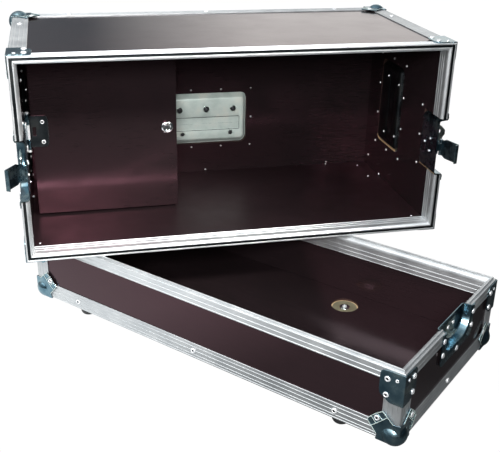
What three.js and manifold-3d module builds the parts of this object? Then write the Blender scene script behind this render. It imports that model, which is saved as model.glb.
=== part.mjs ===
// Two-part transport case with aluminium edges: a deep box standing on its long side on top of the
// rim of a shallow tray, which lies open side up on four rubber feet.
//
// Both halves are built in the same local frame: X runs along the length with its zero in the
// middle, Y runs from the rim into the half, and Z runs across the opening. Millimetres.
import * as THREE from 'three';
import { mergeVertices } from 'three/addons/utils/BufferGeometryUtils.js';
import Module from 'manifold-3d';

const wasm = await Module();
wasm.setup();

// Driving dimensions of the two halves.
const LENGTH = 760;
const WIDTH = 357;
const CASE_DEPTH = 370;
const TRAY_DEPTH = 128;
const TRAY_YAW = THREE.MathUtils.degToRad(48.42);
const TRAY_NEAR_CORNER = [135, -441];
const HALF = LENGTH / 2;

// Sheet and board thicknesses, and the gap kept between neighbouring pieces.
const GAP = 0.3;
const SKIN = 1.5;
const BOARD = 9.5;
const BOARD_IN = SKIN + GAP;
const WALL = BOARD_IN + BOARD;
const LINING = WALL + GAP;

// Aluminium edge angles and rim profiles.
const EDGE_LEG = 30;
const RIM_OUTER_LEG = 20;
const RIM_INNER_LEG = 34;
const RIM_WEB = 6.5;
const TONGUE_HEIGHT = 4;
const GROOVE = [3.5, 7];
const TONGUE = [3.8, 6.7];

// Corner hardware.
const BALL_RADIUS = 20;
const BALL_INSET = 12;
const PETAL = { fold: 36, waist: [34, 8], tip: [52, 28], cutBack: 9 };
const BRACE = { width: 38, length: 53, fromRim: 2, corner: 9, shoulder: 21 };

// Rubber feet under the tray: inset from its ends and its long sides.
const FOOT_RADIUS = 16;
const FOOT_HEIGHT = 38;
const FOOT_ROUNDING = 9;
const FOOT_RIGHT = 118;
const FOOT_LEFT = 84;
const FOOT_ACROSS = EDGE_LEG + FOOT_RADIUS + 1;

// Round recess in the tray floor.
const FLOOR_RECESS = { x: 126, z: 296, radius: 25, depth: 4 };

// Half dishes on both ends of both halves. The tray closes turned end for end.
const LATCH_Z = 165;
const KEEPER_Z = WIDTH - LATCH_Z;
const DISH_DEPTH = 14;
const DISH_HALF = 52;
const DISH_FLANGE_HALF = 64;
const LATCH_DISH_LENGTH = 72;
const LATCH_FLANGE_LENGTH = 95;
const KEEPER_DISH_LENGTH = 50;
const KEEPER_FLANGE_LENGTH = 64;
const DISH_CORNER = { latch: 8, keeper: 30, flange: 12 };
const CATCH = { y: [12, 36], half: 17, height: 8, thickness: 2 };

// Twist latch: places are measured from the dish centre line and the outer face.
const SPINDLE = { y: 41, radius: 4, slotHalf: 4.5 };
const ROTOR = { radius: 19, x: [-11.4, -7.4] };
const EAR = { z: [12, 15], radius: 3 };
const DRAWBAR = { x: [-13.7, -11.7], half: 13, end: 58, lugHalf: 7 };
const KEY_PIVOT = { x: -5, y: 53 };
const KEY_FOLD = { right: 0, left: 90 };
const KEY = { half: 26, topHalf: 18.2, side: 14.3, height: 26, rise: 3.5, thickness: 2, tabHalf: 11.5 };
const HOOK_PIVOT = { x: -6, y: 4 };
const HOOK = { half: 18, length: 46, lip: 7, thickness: 2, start: 4.6 };
const HOOK_EAR = { z: [7.4, 15], radius: 3 };
const HOOK_TILT = { right: 17, left: 32 };
const DRAW_TRAVEL = 6;
const PIN = 1.5;
const PIN_BORE = 1.9;

// Recessed handles.
const HANDLE = { length: 213, width: 140, mouth: [86, 54, 12], floor: [80.5, 45, 9], hole: 2 };
const GRIP_PIVOT = { x: -7, y: 30 };
const GRIP = { half: 58, barY: -22, radius: 6.5, armHalf: 3, eyeRadius: 4, pivotReach: 8 };
const GRIP_LUG = { z: [62, 67], radius: 5, bore: 2.9 };
const END_HANDLE = { y: 237, z: WIDTH / 2 };
const BACK_HANDLE_Z = 131;

// Compartment door, its divider, hinge and lock.
const DOOR = { x0: -357, x1: -91, y: 174, gap: 4 };
const DIVIDER_X = [-100.5, -91];
const HINGE = { x: -364, y: 170, z0: 150, z1: 209, radius: 3.2, knuckle: 16, overlap: 4 };
const HINGE_WALL_REACH = 50;
const HINGE_DOOR_EDGE = -328;
const HINGE_WINDOW = { x: [-357, -351], end: 21 };
const HINGE_PIN_HEAD = { radius: 4, out: 6, thickness: 3 };
const LOCK = { x: -109, z: 175, bezel: 12, bezelHeight: 3, body: 8, plug: 5.5, clearance: 0.4 };
const CAM = { reach: 26, half: 7, behind: [5.5, 7.5] };
const CAM_SLOT = { behind: [3, 12], clearance: 2 };

const boardMaterial = new THREE.MeshStandardMaterial({ color: 0x3a1f24, roughness: 0.3, metalness: 0 });
const railMaterial = new THREE.MeshStandardMaterial({ color: 0xb9bfc4, roughness: 0.35, metalness: 1 });
const zincMaterial = new THREE.MeshStandardMaterial({ color: 0x8c9aa0, roughness: 0.3, metalness: 1 });
const chromeMaterial = new THREE.MeshStandardMaterial({ color: 0xd8dade, roughness: 0.12, metalness: 1 });
const rubberMaterial = new THREE.MeshStandardMaterial({ color: 0x18181a, roughness: 0.8, metalness: 0 });

// Turns X to Y, Y to Z and Z to X.
const CYCLE = new THREE.Matrix4().makeBasis(
  new THREE.Vector3(0, 1, 0), new THREE.Vector3(0, 0, 1), new THREE.Vector3(1, 0, 0));

// A closed geometry as a solid for joining and cutting.
function toSolid(geometry) {
  const bare = geometry.clone();
  bare.deleteAttribute('normal');
  bare.deleteAttribute('uv');
  const merged = mergeVertices(bare, 1e-4);
  return new wasm.Manifold(new wasm.Mesh({
    numProp: 3,
    vertProperties: Float32Array.from(merged.attributes.position.array),
    triVerts: Uint32Array.from(merged.index.array),
  }));
}

function toGeometry(solid) {
  const mesh = solid.getMesh();
  const geometry = new THREE.BufferGeometry();
  geometry.setAttribute('position', new THREE.BufferAttribute(mesh.vertProperties, 3));
  geometry.setIndex(new THREE.BufferAttribute(mesh.triVerts, 1));
  geometry.computeVertexNormals();
  return geometry;
}

function join(...geometries) {
  return toGeometry(geometries.map(toSolid).reduce((sum, next) => sum.add(next)));
}

function cut(geometry, ...tools) {
  return toGeometry(tools.map(toSolid).reduce((rest, tool) => rest.subtract(tool), toSolid(geometry)));
}

// A box from its limits along each axis.
function block([x0, x1], [y0, y1], [z0, z1]) {
  const geometry = new THREE.BoxGeometry(x1 - x0, y1 - y0, z1 - z0);
  return geometry.translate((x0 + x1) / 2, (y0 + y1) / 2, (z0 + z1) / 2);
}

// A round bar along Z.
function rod(radius, x, y, [z0, z1], sides = 8) {
  const geometry = new THREE.CylinderGeometry(radius, radius, z1 - z0, sides);
  return geometry.rotateX(Math.PI / 2).translate(x, y, (z0 + z1) / 2);
}

// Limits along Z, mirrored for the negative side.
function onSide([low, high], side) {
  return side > 0 ? [low, high] : [-high, -low];
}

// A round bar along Y.
function shaft(radius, x, z, [y0, y1], sides = 16) {
  const geometry = new THREE.CylinderGeometry(radius, radius, y1 - y0, sides);
  return geometry.translate(x, (y0 + y1) / 2, z);
}

// A round bar along X.
function axle(radius, y, z, [x0, x1], sides = 24) {
  const geometry = new THREE.CylinderGeometry(radius, radius, x1 - x0, sides);
  return geometry.rotateZ(Math.PI / 2).translate((x0 + x1) / 2, y, z);
}

// An outline in the Y-Z plane, given as a shape of (y, z), thickened from x0 to x1.
function slab(shape, [x0, x1], curveSegments = 3) {
  const geometry = new THREE.ExtrudeGeometry(shape, { depth: x1 - x0, bevelEnabled: false, curveSegments });
  return geometry.applyMatrix4(CYCLE).translate(x0, 0, 0);
}

function roundedRectangle(halfY, halfZ, radius) {
  const shape = new THREE.Shape();
  shape.moveTo(halfY, radius - halfZ);
  shape.absarc(halfY - radius, halfZ - radius, radius, 0, Math.PI / 2);
  shape.absarc(radius - halfY, halfZ - radius, radius, Math.PI / 2, Math.PI);
  shape.absarc(radius - halfY, radius - halfZ, radius, Math.PI, Math.PI * 1.5);
  shape.absarc(halfY - radius, radius - halfZ, radius, Math.PI * 1.5, Math.PI * 2);
  return shape;
}

// A solid between two outlines of (y, z) points with the same count, at x0 and at x1 > x0.
function loft(low, x0, high, x1) {
  const count = low.length;
  const position = [];
  low.forEach((p) => position.push(x0, p.x, p.y));
  high.forEach((p) => position.push(x1, p.x, p.y));
  const index = [];
  for (let i = 0; i < count; i += 1) {
    const next = (i + 1) % count;
    index.push(i, next, count + next, i, count + next, count + i);
  }
  THREE.ShapeUtils.triangulateShape(low, []).forEach(([a, b, c]) => {
    index.push(a, c, b);
    index.push(count + a, count + b, count + c);
  });
  return facingOut(position, index);
}

// A profile of (inset from the outer face, depth from the rim) points swept along a rim path.
// Each path point is [x, z, inward x, inward z]; the inward step is mitred at the corners.
function sweepRim(profile, path) {
  const count = profile.length;
  const position = [];
  path.forEach(([x, z, inX, inZ]) => {
    profile.forEach(([inset, depth]) => position.push(x + inX * inset, depth, z + inZ * inset));
  });
  const index = [];
  for (let ring = 0; ring < path.length - 1; ring += 1) {
    for (let i = 0; i < count; i += 1) {
      const a = ring * count + i;
      const b = ring * count + ((i + 1) % count);
      index.push(a, b, b + count, a, b + count, a + count);
    }
  }
  const outline = profile.map(([inset, depth]) => new THREE.Vector2(inset, depth));
  const last = (path.length - 1) * count;
  THREE.ShapeUtils.triangulateShape(outline, []).forEach(([a, b, c]) => {
    index.push(a, c, b);
    index.push(last + a, last + b, last + c);
  });
  return facingOut(position, index);
}

// A closed geometry from flat lists, its faces turned outward if its volume comes out negative.
function facingOut(position, index) {
  const corner = (i) => new THREE.Vector3().fromArray(position, index[i] * 3);
  let volume = 0;
  for (let i = 0; i < index.length; i += 3) {
    volume += corner(i).dot(corner(i + 1).cross(corner(i + 2)));
  }
  const ordered = volume < 0 ? index.slice().reverse() : index;
  const geometry = new THREE.BufferGeometry();
  geometry.setAttribute('position', new THREE.Float32BufferAttribute(position, 3));
  geometry.setIndex(ordered);
  return geometry;
}

// The same for a geometry that was mirrored or turned on a lathe.
function turnedOut(geometry) {
  geometry.deleteAttribute('normal');
  geometry.deleteAttribute('uv');
  const merged = mergeVertices(geometry, 1e-4);
  return facingOut(Array.from(merged.attributes.position.array), Array.from(merged.index.array));
}

function addPart(group, name, geometry, material) {
  const mesh = new THREE.Mesh(geometry, material);
  mesh.name = name;
  group.add(mesh);
  return mesh;
}

// The grooved rim of the case, and the rim of the tray with the tongue that fits the groove.
function caseRimProfile() {
  return [
    [0, 0], [GROOVE[0], 0], [GROOVE[0], TONGUE_HEIGHT], [GROOVE[1], TONGUE_HEIGHT], [GROOVE[1], 0],
    [LINING, 0], [LINING + SKIN, SKIN], [LINING + SKIN, RIM_INNER_LEG], [LINING, RIM_INNER_LEG],
    [LINING, RIM_WEB], [SKIN, RIM_WEB], [SKIN, RIM_OUTER_LEG], [0, RIM_OUTER_LEG],
  ];
}

function trayRimProfile() {
  const top = TONGUE_HEIGHT;
  return [
    [0, top], [TONGUE[0], top], [TONGUE[0], 0], [TONGUE[1], 0], [TONGUE[1], top],
    [LINING, top], [LINING + SKIN, top + SKIN], [LINING + SKIN, top + RIM_INNER_LEG],
    [LINING, top + RIM_INNER_LEG], [LINING, top + RIM_WEB], [SKIN, top + RIM_WEB],
    [SKIN, top + RIM_OUTER_LEG], [0, top + RIM_OUTER_LEG],
  ];
}

// Half of the rim, from one end dish round one long side to the other end dish.
function rimHalf(profile, dishZ, side) {
  const dishEdge = DISH_HALF + BOARD_IN + GAP;
  const zEnd = side > 0 ? dishZ + dishEdge : dishZ - dishEdge;
  const zSide = side > 0 ? WIDTH : 0;
  return sweepRim(profile, [
    [-HALF, zEnd, 1, 0],
    [-HALF, zSide, 1, -side],
    [HALF, zSide, -1, -side],
    [HALF, zEnd, -1, 0],
  ]);
}

// Edge angles: a ring round the closed side with four posts running up to the rim. Its corners are
// cut back to make room for the balls.
function edgeFrame(depth, start) {
  const windowX = [EDGE_LEG - HALF, HALF - EDGE_LEG];
  const windowZ = [EDGE_LEG, WIDTH - EDGE_LEG];
  const openY = [start - 1, depth - EDGE_LEG];
  const cutBack = BALL_INSET - 4;
  const corners = [];
  [[-HALF, cutBack - HALF], [HALF - cutBack, HALF]].forEach((x) => {
    [[0, cutBack], [WIDTH - cutBack, WIDTH]].forEach((z) => {
      corners.push(block(x, [depth - cutBack, depth], z));
    });
  });
  return cut(
    block([-HALF, HALF], [start, depth], [0, WIDTH]),
    block([SKIN - HALF, HALF - SKIN], [start - 1, depth - SKIN], [SKIN, WIDTH - SKIN]),
    block(windowX, openY, [-1, WIDTH + 1]),
    block([-HALF - 1, HALF + 1], openY, windowZ),
    block(windowX, [start - 1, depth + 1], windowZ),
    ...corners,
  );
}

// Outline of one leg of a ball corner: a pointed petal along the diagonal of a face.
function petal() {
  const out = -GAP - SKIN;
  const half = [[PETAL.cutBack, out], [PETAL.fold, out], [PETAL.fold, 0], PETAL.waist, PETAL.tip];
  const mirrored = half.map(([a, b]) => [b, a]).reverse();
  return new THREE.Shape([...half, ...mirrored].map(([a, b]) => new THREE.Vector2(a, b)));
}

// Ball corner in the frame of its own box corner: the box fills the positive octant.
function ballCornerGeometry() {
  const ball = new THREE.SphereGeometry(BALL_RADIUS, 12, 8).translate(BALL_INSET, BALL_INSET, BALL_INSET);
  const leg = slab(petal(), [-GAP - SKIN, -GAP]);
  const second = leg.clone().applyMatrix4(CYCLE);
  const third = second.clone().applyMatrix4(CYCLE);
  const boxCorner = block([-GAP, LENGTH], [-GAP, LENGTH], [-GAP, LENGTH]);
  return cut(join(ball, leg, second, third), boxCorner);
}

// Corner brace: an angle plate bent round the edge along local Y, at the box corner's rim end.
function cornerBraceGeometry() {
  const { width, length, corner, shoulder } = BRACE;
  const shape = new THREE.Shape();
  shape.moveTo(0, -GAP - SKIN);
  shape.lineTo(length, -GAP - SKIN);
  shape.lineTo(length, shoulder);
  shape.lineTo(length - corner * 1.5, width);
  shape.lineTo(corner, width);
  shape.absarc(corner, width - corner, corner, Math.PI / 2, Math.PI, false);
  shape.closePath();
  const leg = slab(shape, [-GAP - SKIN, -GAP]);
  const swapXZ = new THREE.Matrix4().makeBasis(
    new THREE.Vector3(0, 0, 1), new THREE.Vector3(0, 1, 0), new THREE.Vector3(1, 0, 0));
  return join(leg, turnedOut(leg.clone().applyMatrix4(swapXZ)));
}

// Turns a corner piece from its own octant to the box corner at signs (sx, sz). The piece is the
// same on both sides of its diagonal, so swapping two axes makes up for a mirrored corner.
function placeAtCorner(mesh, x, y, z, sx, sy, sz) {
  const alongX = new THREE.Vector3(sx, 0, 0);
  const alongZ = new THREE.Vector3(0, 0, sz);
  const basis = new THREE.Matrix4();
  if (sx * sy * sz > 0) {
    basis.makeBasis(alongX, new THREE.Vector3(0, sy, 0), alongZ);
  } else {
    basis.makeBasis(alongZ, new THREE.Vector3(0, sy, 0), alongX);
  }
  mesh.quaternion.setFromRotationMatrix(basis);
  mesh.position.set(x, y, z);
}

function addCorners(group, prefix, depth, rimTop, names) {
  const ball = ballCornerGeometry();
  const brace = cornerBraceGeometry();
  [-1, 1].forEach((endSign) => {
    [0, 1].forEach((sideIndex) => {
      const corner = `${names.sides[sideIndex]}_${endSign > 0 ? 'right' : 'left'}`;
      const z = sideIndex * WIDTH;
      const inwardZ = sideIndex ? -1 : 1;
      const ballMesh = addPart(group, `${prefix}_ball_corner_${corner}`, ball, zincMaterial);
      placeAtCorner(ballMesh, endSign * HALF, depth, z, -endSign, -1, inwardZ);
      const braceMesh = addPart(group, `${prefix}_corner_brace_${corner}`, brace, zincMaterial);
      placeAtCorner(braceMesh, endSign * HALF, rimTop + BRACE.fromRim, z, -endSign, 1, inwardZ);
    });
  });
}

// Outline (y, z) of a half dish: open at the rim, with rounded inner corners.
function halfDishOutline(y0, length, half, radius) {
  const shape = new THREE.Shape();
  shape.moveTo(y0, -half);
  shape.lineTo(length - radius, -half);
  shape.absarc(length - radius, radius - half, radius, -Math.PI / 2, 0, false);
  shape.absarc(length - radius, half - radius, radius, 0, Math.PI / 2, false);
  shape.lineTo(y0, half);
  shape.closePath();
  return shape;
}

// Half dish in the frame of its end face: X outward from the face, Y from the rim, Z across.
function halfDish(rimTop, length, flangeLength, radius) {
  const outer = radius + SKIN;
  const flangeOutline = halfDishOutline(rimTop, flangeLength, DISH_FLANGE_HALF, DISH_CORNER.flange);
  const flange = slab(flangeOutline, [GAP, GAP + SKIN]);
  const pan = slab(halfDishOutline(rimTop, length + SKIN, DISH_HALF + SKIN, outer),
    [-DISH_DEPTH - SKIN, GAP + SKIN]);
  const hollow = slab(halfDishOutline(rimTop - 1, length, DISH_HALF, radius), [-DISH_DEPTH, SKIN * 3]);
  return cut(join(flange, pan), hollow);
}

// The catch that the hook pulls on, standing on the keeper dish's floor.
function keeperDish() {
  const dish = halfDish(TONGUE_HEIGHT, KEEPER_DISH_LENGTH, KEEPER_FLANGE_LENGTH, DISH_CORNER.keeper);
  const { y, half, height, thickness } = CATCH;
  const foot = block([-DISH_DEPTH - SKIN / 2, SKIN - DISH_DEPTH], y, [-half, half]);
  const lip = block([-DISH_DEPTH - SKIN / 2, height - DISH_DEPTH], [y[1] - thickness, y[1]], [-half, half]);
  return join(dish, foot, lip);
}

function endFaceGroup(parent, end, z) {
  const group = new THREE.Group();
  group.position.set(end === 'right' ? HALF : -HALF, 0, z);
  group.rotation.y = end === 'right' ? 0 : Math.PI;
  parent.add(group);
  return group;
}

// Space that a half dish needs through an end board, in the half's own frame.
function dishNotch(endSign, dishZ, length) {
  const half = DISH_HALF + SKIN + GAP * 2;
  const x = [HALF - 2 * WALL, HALF + 1].map((v) => v * endSign).sort((a, b) => a - b);
  return block(x, [-1, length + SKIN + GAP * 2], [dishZ - half, dishZ + half]);
}

// The five boards of one half.
function addBoards(group, prefix, names, depth, edgeY, cutters) {
  const wide = HALF - BOARD_IN;
  const sideY = [edgeY, depth - WALL - GAP];
  const boards = [
    [names.closing, block([-wide, wide], [depth - WALL, depth - BOARD_IN], [BOARD_IN, WIDTH - BOARD_IN])],
    [names.sides[0], block([-wide, wide], sideY, [BOARD_IN, WALL])],
    [names.sides[1], block([-wide, wide], sideY, [WIDTH - WALL, WIDTH - BOARD_IN])],
    ['left', block([-wide, WALL - HALF], sideY, [LINING, WIDTH - LINING])],
    ['right', block([HALF - WALL, wide], sideY, [LINING, WIDTH - LINING])],
  ];
  boards.forEach(([name, geometry]) => {
    const tools = cutters[name] ?? [];
    const board = tools.length ? cut(geometry, ...tools) : geometry;
    addPart(group, `${prefix}_${name}_panel`, board, boardMaterial);
  });
}

// Recessed handle dish, X outward from the board's face, Z along the handle.
function handleDish() {
  const top = -BOARD_IN + GAP + SKIN;
  const flangeOutline = roundedRectangle(HANDLE.width / 2, HANDLE.length / 2, DISH_CORNER.flange);
  const flange = slab(flangeOutline, [top - SKIN, top], 2);
  const loop = ([halfZ, halfY, radius], inset) => {
    const outline = roundedRectangle(halfY - inset, halfZ - inset, radius - inset);
    return outline.getPoints(2).slice(0, -1);
  };
  const pan = loft(loop(HANDLE.floor, 0), -DISH_DEPTH - SKIN, loop(HANDLE.mouth, 0), top);
  const hollow = loft(loop(HANDLE.floor, SKIN), -DISH_DEPTH, loop(HANDLE.mouth, SKIN), top + 1);
  const lugs = [-1, 1].map((side) => gripLug(side));
  const boreEnd = GRIP_LUG.z[1] + 3;
  const bore = rod(GRIP_LUG.bore, GRIP_PIVOT.x, GRIP_PIVOT.y, [-boreEnd, boreEnd]);
  return cut(join(cut(join(flange, pan), hollow), ...lugs), bore);
}

// Lug that carries one end of the grip's pivot.
function gripLug(side) {
  const z = onSide(GRIP_LUG.z, side);
  const { x, y } = GRIP_PIVOT;
  const { radius } = GRIP_LUG;
  const stem = block([-DISH_DEPTH - SKIN / 2, x], [y - radius, y + radius], z);
  return join(stem, rod(radius, x, y, z));
}

// Folding grip: a bar on two arms with a pivot stub at each end.
function handleGrip() {
  const { x, y } = GRIP_PIVOT;
  const { half, barY, radius, armHalf, eyeRadius, pivotReach } = GRIP;
  const bar = rod(radius, x, barY, [-half - armHalf, half + armHalf]);
  const arms = [-1, 1].map((side) => {
    const z = onSide([half - armHalf, half + armHalf], side);
    return join(block([x - armHalf, x + armHalf], [barY, y], z), rod(eyeRadius, x, y, z));
  });
  const pivot = rod(PIN_BORE, x, y, [-half - pivotReach, half + pivotReach]);
  return join(bar, ...arms, pivot);
}

// Space that a handle dish needs through a board, round the board-face origin.
function handleHole() {
  const [mouthZ, mouthY, radius] = HANDLE.mouth;
  const { hole } = HANDLE;
  return slab(roundedRectangle(mouthY + hole, mouthZ + hole, radius + hole), [-3 * WALL, WALL], 2);
}

function handlePlacements() {
  const leftTurn = new THREE.Matrix4().makeRotationY(Math.PI);
  return {
    right: new THREE.Matrix4().setPosition(HALF, END_HANDLE.y, END_HANDLE.z),
    left: leftTurn.setPosition(-HALF, END_HANDLE.y, END_HANDLE.z),
    back: CYCLE.clone().setPosition(0, CASE_DEPTH, BACK_HANDLE_Z),
  };
}

function addHandles(group, placements) {
  const dish = handleDish();
  const grip = handleGrip();
  Object.entries(placements).forEach(([place, matrix]) => {
    const holder = new THREE.Group();
    holder.applyMatrix4(matrix);
    group.add(holder);
    addPart(holder, `handle_dish_${place}`, dish, zincMaterial);
    addPart(holder, `handle_grip_${place}`, grip, rubberMaterial);
  });
}

// Round plate on the spindle, with two ears for the folding key.
function latchRotor() {
  const disc = axle(ROTOR.radius, SPINDLE.y, 0, ROTOR.x);
  const spindle = axle(SPINDLE.radius, SPINDLE.y, 0, [DRAWBAR.x[0], ROTOR.x[1]], 12);
  const { x, y } = KEY_PIVOT;
  const ears = [-1, 1].map((side) => {
    const z = onSide(EAR.z, side);
    return join(block([ROTOR.x[0], x], [y - EAR.radius, y + EAR.radius], z), rod(EAR.radius, x, y, z));
  });
  const boreEnd = EAR.z[1] + 1;
  return cut(join(disc, spindle, ...ears), rod(PIN_BORE, x, y, [-boreEnd, boreEnd]));
}

// Folding key with its own origin on the pin: a flat wing that stands out from the rotor.
function latchKey() {
  const { half, topHalf, side, height, rise, thickness, tabHalf } = KEY;
  const outline = new THREE.Shape();
  outline.moveTo(rise, -half);
  outline.lineTo(rise + side, -half);
  outline.lineTo(rise + height, -topHalf);
  outline.lineTo(rise + height, topHalf);
  outline.lineTo(rise + side, half);
  outline.lineTo(rise, half);
  outline.closePath();
  const wing = new THREE.ExtrudeGeometry(outline, { depth: thickness, bevelEnabled: false });
  wing.rotateX(Math.PI / 2).translate(0, thickness / 2, 0);
  const tab = block([-1, rise + 1], [-thickness / 2, thickness / 2], [-tabHalf, tabHalf]);
  return join(wing, tab, rod(PIN, 0, 0, [-EAR.z[1], EAR.z[1]]));
}

// Sliding bar under the rotor, with the lug that carries the hook.
function latchDrawbar() {
  const { x, y } = HOOK_PIVOT;
  const lugY = [y - HOOK_EAR.radius, y + HOOK_EAR.radius];
  const lugZ = [-DRAWBAR.lugHalf, DRAWBAR.lugHalf];
  const bar = block(DRAWBAR.x, [lugY[0], DRAWBAR.end], [-DRAWBAR.half, DRAWBAR.half]);
  const lug = join(block([DRAWBAR.x[0], x], lugY, lugZ), rod(HOOK_EAR.radius, x, y, lugZ));
  const { slotHalf } = SPINDLE;
  const slotY = [SPINDLE.y - slotHalf - DRAW_TRAVEL, SPINDLE.y + slotHalf];
  const slot = block([DRAWBAR.x[0] - 1, DRAWBAR.x[1] + 1], slotY, [-slotHalf, slotHalf]);
  return cut(join(bar, lug), slot, rod(PIN_BORE, x, y, [lugZ[0] - 1, lugZ[1] + 1]));
}

// Hook with its own origin on the pivot: a plate reaching past the rim, with a turned-in lip.
function latchHook() {
  const { half, length, lip, thickness, start } = HOOK;
  const sheet = [-thickness / 2, thickness / 2];
  const knuckles = [-1, 1].map((side) => {
    const z = onSide(HOOK_EAR.z, side);
    return join(rod(HOOK_EAR.radius, 0, 0, z), block(sheet, [-start - 1, 0], z));
  });
  const plate = block(sheet, [-length, -start], [-half, half]);
  const turned = block([-lip, sheet[1]], [-length, thickness - length], [-half, half]);
  return join(plate, turned, ...knuckles, rod(PIN, 0, 0, [1 - HOOK_EAR.z[1], HOOK_EAR.z[1] - 1]));
}

function addLatch(parent, end) {
  const group = endFaceGroup(parent, end, LATCH_Z);
  const dish = halfDish(0, LATCH_DISH_LENGTH, LATCH_FLANGE_LENGTH, DISH_CORNER.latch);
  addPart(group, `case_latch_dish_${end}`, dish, zincMaterial);
  addPart(group, `latch_rotor_${end}`, latchRotor(), zincMaterial);
  const key = addPart(group, `latch_key_${end}`, latchKey(), zincMaterial);
  key.position.set(KEY_PIVOT.x, KEY_PIVOT.y, 0);
  key.rotation.z = -THREE.MathUtils.degToRad(KEY_FOLD[end]);
  addPart(group, `latch_drawbar_${end}`, latchDrawbar(), zincMaterial);
  const hook = addPart(group, `latch_hook_${end}`, latchHook(), zincMaterial);
  hook.position.set(HOOK_PIVOT.x, HOOK_PIVOT.y, 0);
  hook.rotation.z = THREE.MathUtils.degToRad(HOOK_TILT[end]);
}

// Hinge leaf on the end wall, with the outer knuckles and the pin.
function hingeWallLeaf() {
  const { x, y, z0, z1, radius, knuckle, overlap } = HINGE;
  const wall = WALL + GAP - HALF;
  const ends = [z0 - overlap, z1 + overlap];
  const middle = [z0 + knuckle, z1 - knuckle];
  const leaf = block([wall, wall + SKIN], [y - HINGE_WALL_REACH, y], ends);
  const knuckles = [[ends[0], middle[0]], [middle[1], ends[1]]].map((z) => rod(radius, x, y, z));
  const gap = block([wall - 1, x + 2 * radius], [y - radius - 1, y + radius + 1],
    [middle[0] - GAP, middle[1] + GAP]);
  const { out, thickness } = HINGE_PIN_HEAD;
  const pin = rod(PIN, x, y, [z0 - out, z1 + out]);
  const heads = [z0 - out - thickness, z1 + out].map((z) => {
    return rod(HINGE_PIN_HEAD.radius, x, y, [z, z + thickness]);
  });
  return join(cut(join(leaf, ...knuckles), gap), pin, ...heads);
}

// Hinge leaf on the door's face, with the middle knuckle.
function hingeDoorLeaf() {
  const { x, y, z0, z1, radius } = HINGE;
  const face = DOOR.y - GAP;
  const middle = [z0 + HINGE.knuckle, z1 - HINGE.knuckle];
  const leaf = block([x + radius + 1, HINGE_DOOR_EDGE], [face - SKIN, face], [z0, z1]);
  const tongue = block([x, x + radius + 2], [face - SKIN, face], middle);
  const knuckle = rod(radius, x, y, middle);
  const window = block(HINGE_WINDOW.x, [face - 2 * SKIN, face + 1],
    [z0 + HINGE_WINDOW.end, z1 - HINGE_WINDOW.end]);
  return cut(join(leaf, tongue, knuckle), rod(PIN_BORE, x, y, [z0, z1]), window);
}

function addDoor(group) {
  const doorZ = [WALL + DOOR.gap, WIDTH - WALL - DOOR.gap];
  const door = cut(
    block([DOOR.x0, DOOR.x1], [DOOR.y, DOOR.y + BOARD], doorZ),
    shaft(LOCK.body + 0.6, LOCK.x, LOCK.z, [DOOR.y - 1, DOOR.y + BOARD + 1], 24),
  );
  addPart(group, 'door_panel', door, boardMaterial);
  const behind = DOOR.y + BOARD;
  const dividerY = [behind + GAP, CASE_DEPTH - WALL - GAP];
  const slotX = [DIVIDER_X[0] - 1, DIVIDER_X[1] + 1];
  const slotY = CAM_SLOT.behind.map((y) => behind + y);
  const slotZ = [LOCK.z - CAM.reach - CAM_SLOT.clearance, LOCK.z + CAM.half + CAM_SLOT.clearance];
  const camSlot = block(slotX, slotY, slotZ);
  const divider = cut(block(DIVIDER_X, dividerY, [LINING, WIDTH - LINING]), camSlot);
  addPart(group, 'divider_panel', divider, boardMaterial);
  addPart(group, 'hinge_wall_leaf', hingeWallLeaf(), zincMaterial);
  addPart(group, 'hinge_door_leaf', hingeDoorLeaf(), zincMaterial);
  addLock(group, behind);
}

// Cam lock through the door: a fixed housing, and a plug with the cam on its inner end.
function addLock(group, behind) {
  const face = DOOR.y - GAP;
  const { x, z } = LOCK;
  const front = face - LOCK.bezelHeight;
  const camY = CAM.behind.map((y) => behind + y);
  const bezel = shaft(LOCK.bezel, x, z, [front, face], 24);
  const body = shaft(LOCK.body, x, z, [face - 1, camY[0] - 0.5], 24);
  const bore = shaft(LOCK.plug + LOCK.clearance, x, z, [front - 1, camY[0] + 0.5]);
  const housing = cut(join(bezel, body), bore);
  addPart(group, 'door_lock_housing', housing, chromeMaterial);
  const plug = shaft(LOCK.plug, x, z, [front - 0.5, camY[1]]);
  const cam = block([x - CAM.half, x + CAM.half], camY, [z - CAM.reach, z + CAM.half]);
  addPart(group, 'door_lock_barrel', join(plug, cam), chromeMaterial);
}

function addCase(parent) {
  const names = { closing: 'back', sides: ['bottom', 'top'] };
  const placements = handlePlacements();
  const hole = (place) => handleHole().applyMatrix4(placements[place]);
  const group = new THREE.Group();
  parent.add(group);
  addBoards(group, 'case', names, CASE_DEPTH, RIM_WEB + GAP, {
    back: [hole('back')],
    left: [hole('left'), dishNotch(-1, LATCH_Z, LATCH_DISH_LENGTH)],
    right: [hole('right'), dishNotch(1, LATCH_Z, LATCH_DISH_LENGTH)],
  });
  addPart(group, 'case_rim_top', rimHalf(caseRimProfile(), LATCH_Z, 1), railMaterial);
  addPart(group, 'case_rim_bottom', rimHalf(caseRimProfile(), LATCH_Z, -1), railMaterial);
  addPart(group, 'case_edge_frame', edgeFrame(CASE_DEPTH, RIM_OUTER_LEG + GAP), railMaterial);
  addCorners(group, 'case', CASE_DEPTH, 0, names);
  addHandles(group, placements);
  addLatch(group, 'left');
  addLatch(group, 'right');
  addDoor(group);
}

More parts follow.
